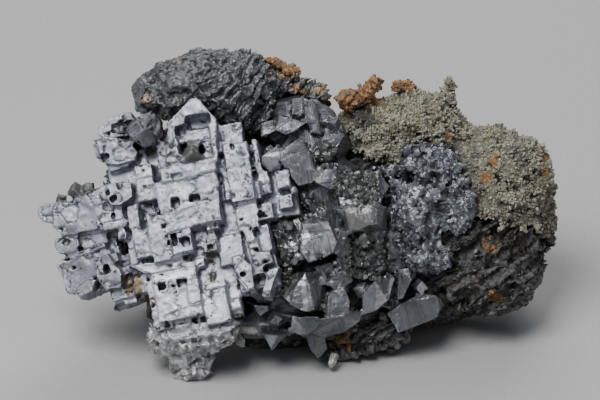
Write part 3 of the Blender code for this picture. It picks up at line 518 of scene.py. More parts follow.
rising = SHEET_RIGHT * math.cos(ROCK_RISE) + SHEET_UP * math.sin(ROCK_RISE)
splinters = grow_on("rock_splinters", worked, facing, ROCK_SPLINTERS, 16, SHARD, EIGHT_FACES, (0.3, 1.0),
                    (0.5, 1.2), 0.4, "host_rock", points[:, 2] > 2.0, rising)
splinter_look, tree, surface = mineral("rock_splinter", 0.25, metallic=0.3)
shade = one_by_one(tree, [
    (0.0, (0.012, 0.012, 0.013)), (0.45, (0.04, 0.04, 0.04)), (0.7, (0.09, 0.085, 0.075)),
    (0.9, (0.16, 0.155, 0.14)), (0.97, (0.34, 0.335, 0.31)), (1.0, (0.25, 0.11, 0.04)),
])
tree.links.new(shade, surface.inputs["Base Color"])
tree.links.new(range_of(tree, grain_noise(tree, 0.9), 0.15, 0.6, 0.3, 0.7), surface.inputs["Roughness"])
tree.links.new(relief(tree, grain_noise(tree, 0.6, 4.0), 0.15), surface.inputs["Normal"])
splinters.data.materials.append(splinter_look)
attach(splinters, "root")
rock_places, rock_facing = worked, facing


# Quartz crust
# A sugary druse: thousands of short clear prisms, each with a blunt tip, grown side by side over the
# upper right of the rock. Between them the crust is dull, and rust has run into it in places.


def prism_shape(root, shoulder, tip):
    """A six-sided prism with a blunt tip."""
    ring = [(math.cos(math.tau * k / 6), math.sin(math.tau * k / 6)) for k in range(6)]
    shape = [(x, y, root) for x, y in ring] + [(x, y, shoulder) for x, y in ring] + [(0, 0, tip)]
    faces = [[k, (k + 1) % 6, 6 + (k + 1) % 6, 6 + k] for k in range(6)]
    faces += [[6 + k, 6 + (k + 1) % 6, 12] for k in range(6)]
    return shape, faces


def points_of(piece):
    """The places of a piece's points, in millimetres."""
    places = np.empty(len(piece.data.vertices) * 3)
    piece.data.vertices.foreach_get("co", places)
    return places.reshape(-1, 3) / MM


CRUST_RUST = [
    (142.5, 31.6, 2.6),
    (149.4, 46.4, 2.6),
    (146.2, 53.4, 3.2),
    (150.8, 71.0, 4.0),
    (165.4, 47.0, 1.8),
    (112.0, 29.0, 5.0),
    (104.0, 31.0, 5.0),
    (123.0, 26.0, 2.4),
    (148.0, 48.6, 2.4),
    (164.4, 51.4, 2.2),
    (157.0, 40.0, 1.8),
    (135.0, 41.0, 1.8),
]
CRUST_SHADE = [(108.0, 35.6, 5.4), (117.0, 60.0, 8.0)]

LUMP_HEIGHT = 2.6
PORE_DEPTH = 3.6
DRUSE_MIDDLE = 128.0  # the druse is joined in two pieces, left and right of this line
PRISMS = 6600

crust, points, facing = skin("quartz_crust", "crust_skin", 0.8, 3)
sheet = on_sheet(points)
lumpy = rough(points / 3.4, 21, 3)
chip_height = chips(points / 2.3, 22)
pores = np.clip(rough(points / 1.5, 28, 2) - 0.13, 0, 1)
worked = points + facing * (LUMP_HEIGHT * lumpy + 0.5 * chip_height - PORE_DEPTH * pores - 0.9)[:, None]
work(crust, worked)
facing = facing_of(crust)
stain(crust, "rust", patchy(points, 23, near(sheet, CRUST_RUST)))
stain(crust, "shade", patchy(points, 24, near(sheet, CRUST_SHADE) * 1.4, 2.6))
# Painted shade: the pores are coloured nearly black, as the shade inside them.
stain(crust, "pore_shade", pores * 4)

crust_look, tree, surface = mineral("dull_crust", 0.75)
grit = tints(tree, grain_noise(tree, 1.4), [(0.3, (0.10, 0.097, 0.076)), (0.7, (0.22, 0.216, 0.17))])
# painted shade in the pores
grit = mixed(tree, kept(tree, "pore_shade"), grit, (0.02, 0.019, 0.016))
rusted = tints(tree, grain_noise(tree, 0.8), [(0.35, (0.09, 0.045, 0.022)), (0.65, (0.42, 0.21, 0.08))])
rust_colour = mixed(tree, frayed(tree, "rust"), grit, rusted)
shade_share = range_of(tree, kept(tree, "shade"), 0.0, 0.85)
tree.links.new(mixed(tree, shade_share, rust_colour, (0.045, 0.045, 0.045)), surface.inputs["Base Color"])
tree.links.new(relief(tree, grain_noise(tree, 0.7, 8.0), 0.5), surface.inputs["Normal"])
crust.data.materials.append(crust_look)
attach(crust, "root")
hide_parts("quartz_crust")

druse_look, tree, surface = mineral("pale_druse", 0.3, ior=1.54)
pale = one_by_one(tree, [
    (0.0, (0.235, 0.23, 0.177)), (0.3, (0.32, 0.312, 0.24)), (0.7, (0.385, 0.377, 0.3)),
    (0.96, (0.47, 0.465, 0.385)), (1.0, (0.33, 0.22, 0.10)),
])
veined = mixed(tree, range_of(tree, grain_noise(tree, 9.0, 3.0), 0.0, 0.75, 0.45, 0.68), pale,
               (0.10, 0.10, 0.09))
veined = mixed(tree, range_of(tree, grain_noise(tree, 13.0, 2.0), 0.0, 0.55, 0.5, 0.62), veined,
               (0.31, 0.262, 0.165))
veined = tinged(tree, veined, "shade", 0.85, (0.05, 0.05, 0.052))
veined = tinged(tree, veined, "rust", 0.9, (0.44, 0.20, 0.068))
tree.links.new(veined, surface.inputs["Base Color"])
tree.links.new(range_of(tree, grain_noise(tree, 0.8), 0.15, 0.6, 0.3, 0.7), surface.inputs["Roughness"])
tree.links.new(relief(tree, grain_noise(tree, 0.5, 4.0), 0.12), surface.inputs["Normal"])

bare = (patchy(points, 23, near(sheet, CRUST_RUST)) > 0.6) | (pores > 0.2)
shape, faces = prism_shape(-0.5, 0.75, 1.35)
left = sheet[:, 0] < DRUSE_MIDDLE
for name, share in (("crust_druse_left", left), ("crust_druse_right", ~left)):
    druse = grow_on(name, worked, facing, PRISMS, 25, shape, faces, (0.17, 0.52), (0.8, 2.4), 0.7,
                    "quartz_crust", share & ~bare)
    roots = points_of(druse)
    stain(druse, "rust", patchy(roots, 23, near(on_sheet(roots), CRUST_RUST)))
    stain(druse, "shade", patchy(roots, 24, near(on_sheet(roots), CRUST_SHADE) * 1.4, 2.6))
    druse.data.materials.append(druse_look)
    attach(druse, "root")


# Skeletal galena
# Lead sulphide that grew fastest along the edges of its cubes, so its bright plates are stepped, pitted
# and hollow, with soft edges as if they had melted. A rough foot of the same mineral carries its front.


def lattice(turn, lean_up, lean_left):
    """The world directions of a crystal lattice, as columns."""
    turned = Matrix.Rotation(math.radians(turn), 3, "Z")
    leaned = Matrix.Rotation(math.radians(-lean_up), 3, "X")
    swung = Matrix.Rotation(math.radians(-lean_left), 3, "Y")
    sheet_axes = Matrix([SHEET_RIGHT, SHEET_UP, SHEET_OUT]).transposed()
    return np.array(sheet_axes @ turned @ leaned @ swung)


MAIN_AXES = lattice(10.0, 13.0, 7.0)
LEFT_AXES = lattice(19.0, 11.0, 15.0)
ARM_EDGE = 33.0  # left of this and below the next, the plates follow the left lattice
ARM_TOP = 54.0
TERRACE = 0.34  # a growth terrace's height
GROOVE_DEPTH = 0.6
PIT_DEPTH = 1.9
PIT_SPACING = 3.8
PITTED = 0.2  # the share of places that hold a pit
FOOT_TOP = 94.0
PLATES_TOP = float(((57.0 - SHEET_WIDTH / 2) * SHEET_RIGHT + (SHEET_HEIGHT / 2 - 69.0) * SHEET_UP
                    + 26.0 * SHEET_OUT) @ MAIN_AXES[:, 2])

LAVENDER_CRYSTAL = [(43.6, 39.4, 9.5)]
# Painted light: these lower plates are painted brighter, as though they leaned up into the light.
LIT_PLATES = [(52.0, 88.0, 12.0), (65.0, 88.0, 9.0), (56.0, 79.0, 7.0)]
# These plates are painted darker.
DARKENED_PLATES = [(29.0, 86.0, 15.0), (20.0, 72.0, 8.0), (40.0, 96.0, 8.0)]
TAN_EARTH = [(40.6, 86.0, 5.4), (44.6, 90.6, 3.6)]
OLIVE_CRYSTALS = [
    (22.8, 56.6, 3.2), (26.8, 55.8, 2.6), (18.2, 59.4, 2.6), (45.6, 46.0, 2.2),
    (63.6, 77.0, 2.2), (64.6, 82.4, 2.0), (57.8, 46.0, 3.6),
]

plates, points, facing = skin("skeletal_galena", "plates_skin", 0.42, 3)
sheet = on_sheet(points)
on_arm = (sheet[:, 0] < ARM_EDGE) & (sheet[:, 1] > ARM_TOP)
local = np.where(on_arm[:, None], points @ LEFT_AXES, points @ MAIN_AXES)
aspect = np.where(on_arm[:, None], facing @ LEFT_AXES, facing @ MAIN_AXES)
sway = np.stack([rough(points / 3.6, 30 + axis, 3) for axis in range(3)], axis=1) * 0.75
sway += np.stack([rolling(points / 8.0, 54 + axis) for axis in range(3)], axis=1) * 0.9
sway -= facing * (sway * facing).sum(axis=1)[:, None] * 0.8
worked = points + sway
top = np.clip((np.abs(aspect).max(axis=1) - 0.8) / 0.15, 0, 1)
contour = rolling(local / (6.5, 5.0, 3.0), 41) + 0.45 * rolling(local / (2.4, 2.2, 2.0), 42)
steps = np.floor(contour * 2.2) / 2.2
crack = np.abs(rolling(local / (5.2, 4.2, 4.0), 43) + 0.35 * rolling(local / 1.7, 44))
groove = np.clip(1.4 - crack / 0.042, 0, 1)
pit_cell = np.floor(local / PIT_SPACING)
pit_chance = np.stack([chance(pit_cell, 45 + axis) for axis in range(3)], axis=1)
pit_spot = (pit_cell + 0.2 + 0.6 * pit_chance) * PIT_SPACING
pit_reach = np.abs(local - pit_spot)
pit_width = 0.22 + 0.42 * chance(pit_cell, 48) ** 2
pit_present = chance(pit_cell, 49) < PITTED
pit_square = np.maximum(pit_reach[:, 0], pit_reach[:, 1])
pit_far = 0.6 * pit_square + 0.4 * np.hypot(pit_reach[:, 0], pit_reach[:, 1])
pit = np.clip((1.45 - pit_far / pit_width) * 1.8, 0, 1) * pit_present * (aspect[:, 2] > 0.6)
height = top * (TERRACE * steps - GROOVE_DEPTH * groove - PIT_DEPTH * pit) - 0.15
top_plane = (points - SHEET_MIDDLE) @ MAIN_AXES[:, 2] - PLATES_TOP
foot = np.clip((sheet[:, 1] - FOOT_TOP) / 2.0, 0, 1) * np.clip((-2.2 - top_plane) / 1.0, 0, 1)
chip_height = chips(points / 2.4, 51)
lavender = np.clip(near(sheet, LAVENDER_CRYSTAL) * 4.0, 0, 1) * (1 - top)
furrow = np.clip(1.0 - np.abs(rolling(points / 4.2, 57) + 0.3 * rolling(points / 1.6, 58)) / 0.16, 0, 1)
height += lavender * (0.5 * rough(points / 3.0, 59, 3) - 0.9 * furrow)
height = height * (1 - foot) + foot * (2.0 * chip_height - 0.7)
height = np.where(points[:, 2] < 0.6, 0, height)
worked = worked + facing * height[:, None]
work(plates, worked)
facing = facing_of(plates)
low_places = sunken(plates, worked, facing, 30)
deep_places = sunken(plates, worked, facing, 220)
wall_shade = np.clip(0.75 - np.where(on_arm, facing @ LEFT_AXES[:, 2], facing @ MAIN_AXES[:, 2]), 0, 1)
# Painted shade: grooves, pits, hollows and the plates' side walls are darkened, less so on the foot.
hollow_shade = np.maximum(np.maximum(groove * top * 0.75, pit * 1.2), (low_places - 0.14) / 0.6)
hollow_shade = np.maximum(hollow_shade, (deep_places - 0.6) / 1.7)
stain(plates, "hollow_shade", (hollow_shade + 0.25 * wall_shade) * (1 - 0.45 * foot))
# Painted highlight: the raised rims of the plates are lightened.
stain(plates, "rim_highlight", (-low_places - 0.05) / 0.5)
stain(plates, "foot", foot)
# painted light on the lower plates
stain(plates, "painted_light", near(sheet, LIT_PLATES) * 2.0)
# the plates listed above are painted darker
stain(plates, "darkened", near(sheet, DARKENED_PLATES) * 2.0)
# Painted shade: the downward-facing ledges below the plates are darkened.
stain(plates, "underside_shade", np.clip((sheet[:, 1] - 96.4) / 1.5, 0, 1) * (1 - foot))
stain(plates, "tan", patchy(points, 52, near(sheet, TAN_EARTH)))
stain(plates, "olive", near(sheet, OLIVE_CRYSTALS) * 3.0)
stain(plates, "lavender", near(sheet, LAVENDER_CRYSTAL) * 4.0)
thinned(plates, 0.72)

plates_look, tree, surface = mineral("bright_plates", 0.42, metallic=0.85)
sheen = grain_noise(tree, 7.0, 4.0)
bright = tints(tree, sheen, [(0.3, (0.295, 0.31, 0.358)), (0.55, (0.38, 0.398, 0.458)),
                             (0.75, (0.455, 0.472, 0.535))])
tarnish = range_of(tree, grain_noise(tree, 1.8, 6.0), 0.0, 0.55, 0.5, 0.75)
bright = mixed(tree, tarnish, bright, (0.24, 0.24, 0.27))
# painted light: the lower plates are brightened
bright = tinged(tree, bright, "painted_light", 0.75, (0.60, 0.62, 0.675))
# darker plates
bright = tinged(tree, bright, "darkened", 0.75, (0.21, 0.218, 0.25))
# painted highlight on raised rims
bright = tinged(tree, bright, "rim_highlight", 0.6, (0.62, 0.635, 0.685))
# painted shade on the downward-facing ledges at the bottom
bright = tinged(tree, bright, "underside_shade", 0.7, (0.15, 0.153, 0.165))
bright = tinged(tree, bright, "lavender", 0.92, (0.155, 0.15, 0.178))
foot_grit = tints(tree, grain_noise(tree, 1.3), [(0.35, (0.30, 0.30, 0.30)), (0.65, (0.82, 0.82, 0.815))])
tan_grit = tints(tree, grain_noise(tree, 1.0), [(0.35, (0.10, 0.075, 0.05)), (0.65, (0.31, 0.25, 0.165))])
bright = mixed(tree, range_of(tree, kept(tree, "foot"), 0.0, 0.9), bright, foot_grit)
bright = mixed(tree, frayed(tree, "tan"), bright, tan_grit)
bright = tinged(tree, bright, "olive", 0.9, (0.145, 0.15, 0.132))
# painted shade in grooves, pits, hollows and on side walls
bright = mixed(tree, range_of(tree, kept(tree, "hollow_shade"), 0.0, 0.93, 0.08, 0.8), bright, (0.02, 0.02, 0.025))
# Painted shade: small scattered dots are darkened as the shade in tiny pinholes.
pinhole_shade = range_of(tree, cells(tree, 2.0).outputs["Distance"], 1.0, 0.0, 0.10, 0.16)
bright = mixed(tree, pinhole_shade, bright, (0.03, 0.03, 0.035))
tree.links.new(bright, surface.inputs["Base Color"])
tree.links.new(range_of(tree, grain_noise(tree, 2.6, 6.0), 0.38, 0.66, 0.3, 0.7), surface.inputs["Roughness"])
ripples = relief(tree, grain_noise(tree, 2.6, 3.0, 1.0), 0.05)
ripples = relief(tree, grain_noise(tree, 0.5, 4.0), 0.07, ripples)
tree.links.new(glinting(tree, 0.4, 0.14, ripples), surface.inputs["Normal"])
plates.data.materials.append(plates_look)
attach(plates, "root")
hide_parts("skeletal_galena")


# Complete galena crystals
# Flat-faced crystals, cube and octahedron together, with fine growth lines on their faces. Some are
# lead grey and some lavender, and small ones fill the room between the large ones.

RAGGED = [(84.0, 68.0, 8.0), (84.0, 80.0, 8.0), (109.5, 77.0, 10.0), (98.0, 46.5, 5.0), (104.0, 55.0, 6.0),
          (98.0, 80.0, 5.0), (93.0, 62.0, 5.0), (109.0, 56.0, 8.0)]

LINE_SPAN = 400.0  # millimetres that a kept line value of 0 to 1 stands for
LINE_SPACING = 0.55
LAVENDER_FACES = [(90.0, 49.0, 15.0), (80.0, 48.0, 8.0), (92.0, 34.0, 12.0)]
DUSKY_FACES = [(91.0, 34.0, 13.0), (108.0, 57.0, 9.0)]
PALE_FACES = [(109.0, 65.0, 8.0)]
# Painted shade: the lower front crystals under the edge are painted darker, the prism only a little.
SHADED_FACES = [(97.0, 98.0, 9.0), (95.0, 105.0, 6.0)]
SHADED_PRISM = [(125.0, 93.0, 13.0)]
CAVITIES = [(109.5, 77.0, 10.0), (104.0, 55.0, 6.0), (98.0, 46.5, 5.0), (109.0, 56.0, 7.0)]
UNDER_EDGE = [(79.0, 101.0, 14.0), (100.0, 106.0, 14.0), (121.0, 101.0, 10.0)]
BETWEEN = 2000
ON_ROCK = 210


def on_solid(node, points):
    """The nearest places on a solid, and which way its flat face there looks."""
    mesh = bpy.data.objects[node].data
    corners = [vert.co / MM for vert in mesh.vertices]
    solid = BVHTree.FromPolygons(corners, [list(face.vertices) for face in mesh.polygons])
    found = [solid.find_nearest(Vector(point))[:2] for point in points]
    places, ways = zip(*found)
    return np.array(places), np.array(ways)


def growth_lines(places, ways):
    """Each flat face's own number, and how far across its growth lines each place on it lies."""
    face = np.round(ways * 12)
    own = np.floor(chance(face, 69) * 1000)
    lots = np.stack([0.1 + chance(face, 66 + axis) for axis in range(3)], axis=1)
    lots[np.abs(ways @ MAIN_AXES) >= 0.85] = 0
    axis = MAIN_AXES.T[np.argmax(lots, axis=1)]
    across = np.cross(ways, np.cross(ways, axis))
    across /= np.linalg.norm(across, axis=1)[:, None]
    return own, (places * across).sum(axis=1)


crystals, points, facing = skin("galena_crystals", "crystals_skin", 0.4, 0)
sheet = on_sheet(points)
flat, ways = on_solid("galena_crystals", points)
own, across = growth_lines(flat, ways)
ragged = np.clip(near(sheet, RAGGED) * 2.2 + 0.4 * rough(points / 2.5, 63), 0, 1)
none = np.zeros(len(points))
growth = np.floor(rolling(np.stack((across / 2.6, own, none), axis=1), 61) * 3.0) / 3.0
chip_height = chips(points / 2.1, 64)
wear = rough(points / 1.6, 62, 3)
worm = 1 - 2 * np.abs(rolling(slanted(sheet, math.radians(-60.0), 5.0, 2.2, 4.0) + 0.3 * wear[:, None], 67))
height = 0.2 * growth + 0.05 * wear - 0.1 + ragged * (0.9 * chip_height + 0.9 * worm + 0.4 * wear - 0.9)
worked = flat + ways * height[:, None]
work(crystals, worked)
facing = facing_of(crystals)
low_places = sunken(crystals, worked, facing, 40)
stain(crystals, "ragged", ragged)
# Painted shade: where the crystals lie below the surface round them, the colour is darkened nearly to black.
stain(crystals, "hollow_shade", (low_places - 0.1) / 1.0)
# Painted highlight: the crystals' raised edges are lightened, less so in the ragged zones.
stain(crystals, "rim_highlight", (-low_places - 0.1) / 0.8 * (1 - 0.7 * ragged))
stain(crystals, "lavender", near(sheet, LAVENDER_FACES) * 3.0)
stain(crystals, "dusky", near(sheet, DUSKY_FACES) * 2.4)
stain(crystals, "pale", near(sheet, PALE_FACES) * 3.0)
# painted shade on the lower front crystals
stain(crystals, "lower_face_shade", np.maximum(near(sheet, SHADED_FACES) * 3.0, near(sheet, SHADED_PRISM) * 0.5))
stain(crystals, "line", across / LINE_SPAN + 0.5)
stain(crystals, "own", own / 1000)
thinned(crystals, 0.5)

crystals_look, tree, surface = mineral("faced_galena", 0.36, metallic=0.8)
body = tints(tree, kept(tree, "own"), [(0.0, (0.12, 0.126, 0.138)), (0.5, (0.28, 0.292, 0.316)),
                                       (1.0, (0.56, 0.572, 0.61))])
dull = range_of(tree, grain_noise(tree, 3.5, 6.0), 0.0, 0.6, 0.48, 0.66)
body = mixed(tree, dull, body, (0.14, 0.145, 0.155))
body = tinged(tree, body, "lavender", 0.8, (0.36, 0.352, 0.40))
body = tinged(tree, body, "dusky", 0.85, (0.15, 0.148, 0.175))
body = tinged(tree, body, "pale", 0.8, (0.27, 0.267, 0.262))
body = mixed(tree, range_of(tree, kept(tree, "ragged"), 0.0, 0.7, 0.2, 0.8), body, (0.145, 0.153, 0.142))
# painted shade darkens the lower front crystals
body = tinged(tree, body, "lower_face_shade", 0.65, (0.095, 0.102, 0.104))
# painted highlight on raised edges
body = tinged(tree, body, "rim_highlight", 0.5, (0.42, 0.43, 0.46))
# painted shade in the hollows between crystals
body = tinged(tree, body, "hollow_shade", 0.9, (0.014, 0.014, 0.015))
lines = tree.nodes.new("ShaderNodeTexNoise")
lines.noise_dimensions = "1D"
lines.inputs["Scale"].default_value = LINE_SPAN / LINE_SPACING
lines.inputs["Detail"].default_value = 3.0
tree.links.new(kept(tree, "line"), lines.inputs["W"])
streak = range_of(tree, lines.outputs["Fac"], 0.0, 0.8, 0.55, 0.68)
tree.links.new(mixed(tree, streak, body, (0.4, 0.41, 0.43), "MULTIPLY"), surface.inputs["Base Color"])
tree.links.new(range_of(tree, grain_noise(tree, 3.0, 6.0), 0.26, 0.5, 0.3, 0.7), surface.inputs["Roughness"])
striped = relief(tree, lines.outputs["Fac"], 0.09)
striped = relief(tree, grain_noise(tree, 0.9, 6.0), 0.06, striped)
tree.links.new(striped, surface.inputs["Normal"])
crystals.data.materials.append(crystals_look)
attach(crystals, "root")
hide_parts("galena_crystals")

TIP = 0.45  # the width of a small crystal's cut tips, as a share of its middle
RING = [(1, 0), (0, 1), (-1, 0), (0, -1)]
small_crystal = [(x, y, 0.0) for x, y in RING]
for end in (0.8, -0.8):
    small_crystal += [(x * TIP, y * TIP, end) for x, y in RING]
small_faces = [[4, 5, 6, 7], [11, 10, 9, 8]]
small_faces += [[k, (k + 1) % 4, 4 + (k + 1) % 4, 4 + k] for k in range(4)]
small_faces += [[(k + 1) % 4, k, 8 + k, 8 + (k + 1) % 4] for k in range(4)]
in_between = (low_places > 0.3) | (near(sheet, CAVITIES) > 0.3)
between = grow_on("crystals_between", worked, facing, BETWEEN, 65, small_crystal, small_faces,
                  (0.35, 1.3), (0.7, 1.4), 1.2, "galena_crystals", in_between & (sheet[:, 2] > -20))
between_look, tree, surface = mineral("small_galena", 0.4, metallic=0.6)
grey = one_by_one(tree, [
    (0.0, (0.06, 0.063, 0.062)), (0.6, (0.14, 0.146, 0.142)),
    (0.88, (0.22, 0.223, 0.228)), (1.0, (0.34, 0.34, 0.36)),
])
tree.links.new(grey, surface.inputs["Base Color"])
tree.links.new(range_of(tree, grain_noise(tree, 1.0), 0.25, 0.6, 0.3, 0.7), surface.inputs["Roughness"])
tree.links.new(relief(tree, grain_noise(tree, 0.7, 4.0), 0.12), surface.inputs["Normal"])
between.data.materials.append(between_look)
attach(between, "root")

under_edge = near(on_sheet(rock_places), UNDER_EDGE) > 0.15
on_rock = grow_on("crystals_on_rock", rock_places, rock_facing, ON_ROCK, 68, small_crystal, small_faces,
                  (0.5, 2.1), (0.7, 1.3), 0.9, "host_rock", under_edge)
on_rock.data.materials.append(between_look)
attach(on_rock, "root")


# Granular galena
# Lead sulphide again, here a blue-grey mass of small cubes that grew through each other, with their
# corners standing out every way. It fills the room between the large crystals and the crust.

GRAIN_STEP = 2.1
RIDGE_HEIGHT = 1.9
SMALL_GRAIN_STEP = 0.5
CUBES = 1300
BRIGHT_GRAINS = [(126.0, 60.5, 9.0), (116.0, 57.0, 5.0)]

grains, points, facing = skin("granular_galena", "granular_skin", 0.42, 1)
sheet = on_sheet(points)
chip_height = chips(points / 3.3, 71)
ridges = 1 - 2 * np.abs(rolling(slanted(sheet, math.radians(38.0), 9.0, 4.2, 6.0), 74))
small_height = chips(points / 1.1, 75)
height = GRAIN_STEP * chip_height + RIDGE_HEIGHT * ridges + SMALL_GRAIN_STEP * small_height
height = height + 0.3 * rough(points / 1.3, 72) - 2.1
worked = points + facing * height[:, None]
work(grains, worked)
facing = facing_of(grains)
# Painted shade: where the mass lies below the surface round it, the colour is darkened nearly to black.
stain(grains, "hollow_shade", sunken(grains, worked, facing, 60) / 1.3)
stain(grains, "bright", near(sheet, BRIGHT_GRAINS) * 1.6)
grains_look, tree, surface = mineral("granular_blue", 0.4, metallic=0.7)
blue = tints(tree, grain_noise(tree, 2.6), [(0.3, (0.16, 0.166, 0.192)), (0.7, (0.39, 0.40, 0.45))])
dark_patch = range_of(tree, grain_noise(tree, 9.0, 3.0), 0.0, 0.7, 0.5, 0.65)
blue = mixed(tree, dark_patch, blue, (0.07, 0.072, 0.07))
blue = tinged(tree, blue, "bright", 0.75, (0.48, 0.49, 0.55))
# painted shade in the hollows
blue = tinged(tree, blue, "hollow_shade", 0.85, (0.014, 0.014, 0.017))
tree.links.new(blue, surface.inputs["Base Color"])
tree.links.new(range_of(tree, grain_noise(tree, 1.4), 0.22, 0.6, 0.3, 0.7), surface.inputs["Roughness"])
fine = relief(tree, grain_noise(tree, 0.9, 6.0), 0.25)
tree.links.new(glinting(tree, 1.1, 0.3, fine), surface.inputs["Normal"])
grains.data.materials.append(grains_look)
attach(grains, "root")
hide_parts("granular_galena")

cube = list(itertools.product((-1.0, 1.0), repeat=3))
cube_faces = [[0, 1, 3, 2], [4, 6, 7, 5], [0, 4, 5, 1], [2, 3, 7, 6], [0, 2, 6, 4], [1, 5, 7, 3]]
small_cubes = grow_on("granular_cubes", worked, facing, CUBES, 73, cube, cube_faces, (0.16, 0.55),
                      (0.9, 1.3), 1.4, "granular_galena")
small_cubes.data.materials.append(grains_look)
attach(small_cubes, "root")


# Blende lump
# Dark zinc blende in curved cleavage plates. They flow gently on the left, and on the right they
# stand in steep splinters with gaps between them, whose shade is painted black.

BLENDE_MIDDLE = (64.0, 24.0, 0.0)
BLENDE_CHIP = (4.0, 2.6, 3.4)
BLENDE_SMALL_CHIP = (1.9, 1.2, 1.6)
FISSURE = (9.0, 2.2, 5.0)
STEEP_FROM = 52.0  # across the sheet, where the plates start to stand up
STEEP_OVER = 24.0
BLENDE_RUST = [(84.0, 21.0, 5.0), (90.0, 27.0, 5.0), (97.0, 26.5, 5.0), (43.5, 30.0, 2.4), (53.0, 17.0, 2.0)]

blende, points, facing = skin("blende_lump", "blende_skin", 0.42, 1)
sheet = on_sheet(points)
steep = np.clip((sheet[:, 0] - STEEP_FROM) / STEEP_OVER, 0, 1)
rise = np.radians(12.0 + 42.0 * steep)
about = sheet - BLENDE_MIDDLE
flow = slanted(about, rise, 7.5, 1.0, 6.0)
flow[:, 1] /= 4.4 - 1.6 * steep
plates_height = shingles(flow, 81)
chip_height = chips(slanted(about, rise, *BLENDE_CHIP), 82)
small_height = chips(slanted(about, rise, *BLENDE_SMALL_CHIP), 87)
fissures_and_shade = np.clip(1.2 - np.abs(rolling(slanted(about, rise, *FISSURE), 83)) / 0.12, 0, 1)
height = (0.6 + 1.4 * steep) * plates_height + (0.45 + 0.75 * steep) * chip_height
height += (0.15 + 0.45 * steep) * small_height
height += 0.15 * rough(points / 1.4, 84) + 1.2 * rough(points / 7.0, 86, 2)
height -= (0.4 + 1.9 * steep) * fissures_and_shade + 1.1
worked = points + facing * height[:, None]
work(blende, worked)
facing = facing_of(blende)
low_places = sunken(blende, worked, facing, 40)
# Painted shade: the fissures and other low places are coloured nearly black.
stain(blende, "fissures_and_shade", np.maximum(fissures_and_shade, low_places / 1.3))
# Painted highlight: raised places on the blende are lightened.
stain(blende, "edge_highlight", -low_places / 1.0)
stain(blende, "rust", patchy(points, 88, near(sheet, BLENDE_RUST), 1.0))

blende_look, tree, surface = mineral("dark_blende", 0.38, metallic=0.25, ior=2.3)
dark = tints(tree, grain_noise(tree, 2.2), [(0.3, (0.032, 0.034, 0.038)), (0.55, (0.072, 0.077, 0.082)),
                                            (0.7, (0.135, 0.143, 0.15))])
# painted highlight on raised places
dark = tinged(tree, dark, "edge_highlight", 0.48, (0.22, 0.23, 0.242))
# painted shade in fissures and hollows
dark = tinged(tree, dark, "fissures_and_shade", 0.85, (0.010, 0.010, 0.011))
rusted = tints(tree, grain_noise(tree, 0.8), [(0.35, (0.07, 0.045, 0.025)), (0.65, (0.38, 0.22, 0.09))])
dark = mixed(tree, frayed(tree, "rust"), dark, rusted)
tree.links.new(dark, surface.inputs["Base Color"])
tree.links.new(range_of(tree, grain_noise(tree, 1.2), 0.2, 0.6, 0.3, 0.7), surface.inputs["Roughness"])
fine = relief(tree, grain_noise(tree, 0.8, 6.0), 0.3)
tree.links.new(glinting(tree, 0.8, 0.7, fine), surface.inputs["Normal"])
blende.data.materials.append(blende_look)
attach(blende, "root")
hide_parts("blende_lump")

for name, share, count, angle in (("blende_splinters_left", steep < 0.5, 180, 12.0),
                                  ("blende_splinters_right", steep >= 0.5, 520, 52.0)):
    line = SHEET_RIGHT * math.cos(math.radians(angle)) + SHEET_UP * math.sin(math.radians(angle))
    bits = grow_on(name, worked, facing, count, 85, SHARD, EIGHT_FACES, (0.25, 0.8), (0.25, 0.5), 0.2,
                   "blende_lump", share, line)
    bits.data.materials.append(blende_look)
    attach(bits, "root")


# Limonite
# Crumbly iron oxide, left where iron-bearing minerals weathered away. It stands in three lumps along
# the top edge, and looser crumbs lie on each of them.

limonite_look, tree, surface = mineral("crumbly_limonite", 0.9)
earth = tints(tree, grain_noise(tree, 1.5), [(0.32, (0.07, 0.042, 0.026)), (0.5, (0.32, 0.16, 0.066)),
                                             (0.66, (0.66, 0.39, 0.18))])
grey_patch = range_of(tree, grain_noise(tree, 4.0, 4.0), 0.0, 0.7, 0.5, 0.62)
earth = mixed(tree, grey_patch, earth, (0.15, 0.142, 0.12))
tree.links.new(earth, surface.inputs["Base Color"])
tree.links.new(relief(tree, grain_noise(tree, 0.6, 8.0), 0.4), surface.inputs["Normal"])

CRUMB = [(1, 0, 0), (-1, 0, 0), (0, 1, 0), (0, -1, 0), (0, 0, 1), (0, 0, -1)]
CRUMBS = 260
for number, node in enumerate(("limonite_left", "limonite_middle", "limonite_right")):
    crumbs, points, facing = skin(node, node + "_skin", 0.36, 1)
    chip_height = chips(points / 1.7, 91 + number)
    worked = points + facing * (0.9 * chip_height + 0.7 * rough(points / 1.6, 95) - 0.4)[:, None]
    work(crumbs, worked)
    crumbs.data.materials.append(limonite_look)
    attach(crumbs, "root")
    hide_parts(node)
    bits = grow_on(node + "_crumbs", worked, facing, CRUMBS, 96 + number, CRUMB, EIGHT_FACES, (0.3, 0.7),
                   (0.8, 1.3), 1.2, node)
    bits.data.materials.append(limonite_look)
    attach(bits, "root")


# Quartz points
# Small clear prisms of quartz that grew under the front edge. They are the solids themselves, with
# a little milk in the clear quartz.

clear_look, tree, surface = mineral("clear_quartz", 0.12, ior=1.54)
milk = tints(tree, grain_noise(tree, 1.6), [(0.3, (0.62, 0.63, 0.58)), (0.7, (0.86, 0.87, 0.83))])
tree.links.new(milk, surface.inputs["Base Color"])
surface.inputs["Transmission Weight"].default_value = 0.75
tree.links.new(relief(tree, grain_noise(tree, 0.6, 4.0), 0.08), surface.inputs["Normal"])
for node in ("quartz_point_1", "quartz_point_2", "quartz_point_3"):
    frame["nodes"][node].data.materials.clear()
    frame["nodes"][node].data.materials.append(clear_look)


# Table, light and camera
# The specimen lies on a plain pale table. A broad soft light stands in front of it and above, with
# weaker ones behind it and at its left, and the camera looks down at the photograph's angle.

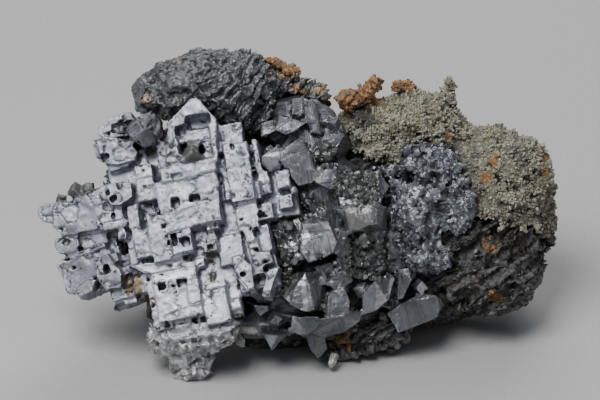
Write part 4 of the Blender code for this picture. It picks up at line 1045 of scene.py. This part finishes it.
floor_mesh = bpy.data.meshes.new("table")
REACH = 6.0
floor_mesh.from_pydata([(-REACH, -REACH, 0), (REACH, -REACH, 0), (REACH, REACH, 0), (-REACH, REACH, 0)], [],
                       [(0, 1, 2, 3)])
floor = bpy.data.objects.new("table", floor_mesh)
bpy.context.scene.collection.objects.link(floor)
floor_look, tree, surface = mineral("table_paper", 0.85)
paper = tints(tree, grain_noise(tree, 1.5, 3.0), [(0.3, (0.46, 0.46, 0.465)), (0.7, (0.50, 0.50, 0.505))])
tree.links.new(paper, surface.inputs["Base Color"])
floor.data.materials.append(floor_look)


def soft_light(name, place, aim, size, power):
    """A square soft light at a place, turned towards an aim, in metres and watts."""
    light = bpy.data.lights.new(name, "AREA")
    light.size = size
    light.energy = power
    lamp = bpy.data.objects.new(name, light)
    bpy.context.scene.collection.objects.link(lamp)
    lamp.location = place
    lamp.rotation_euler = (Vector(aim) - Vector(place)).to_track_quat("-Z", "Y").to_euler()


AIM = (0.0, 0.0, 0.04)
soft_light("key", (-0.22, -0.42, 0.78), AIM, 0.42, 7.4)
soft_light("back", (0.15, 0.65, 0.62), AIM, 0.5, 4.0)
soft_light("side", (-0.8, -0.2, 0.4), AIM, 0.4, 1.6)

room = bpy.data.worlds.new("room")
room.use_nodes = True
room.node_tree.nodes["Background"].inputs["Color"].default_value = (0.80, 0.82, 0.86, 1.0)
room.node_tree.nodes["Background"].inputs["Strength"].default_value = 0.23
bpy.context.scene.world = room

LENS = 250.0
SENSOR = 36.0
SHEET_FRONT = 15.0
lens = bpy.data.cameras.new("camera")
lens.lens = LENS
lens.sensor_width = SENSOR
lens.clip_end = 20.0
camera = bpy.data.objects.new("camera", lens)
bpy.context.scene.collection.objects.link(camera)
distance = SHEET_WIDTH * LENS / SENSOR
eye = (SHEET_MIDDLE + SHEET_OUT * (SHEET_FRONT + distance)) * MM
camera.location = eye
camera.rotation_euler = Vector(-SHEET_OUT).to_track_quat("-Z", "Y").to_euler()
bpy.context.scene.camera = camera
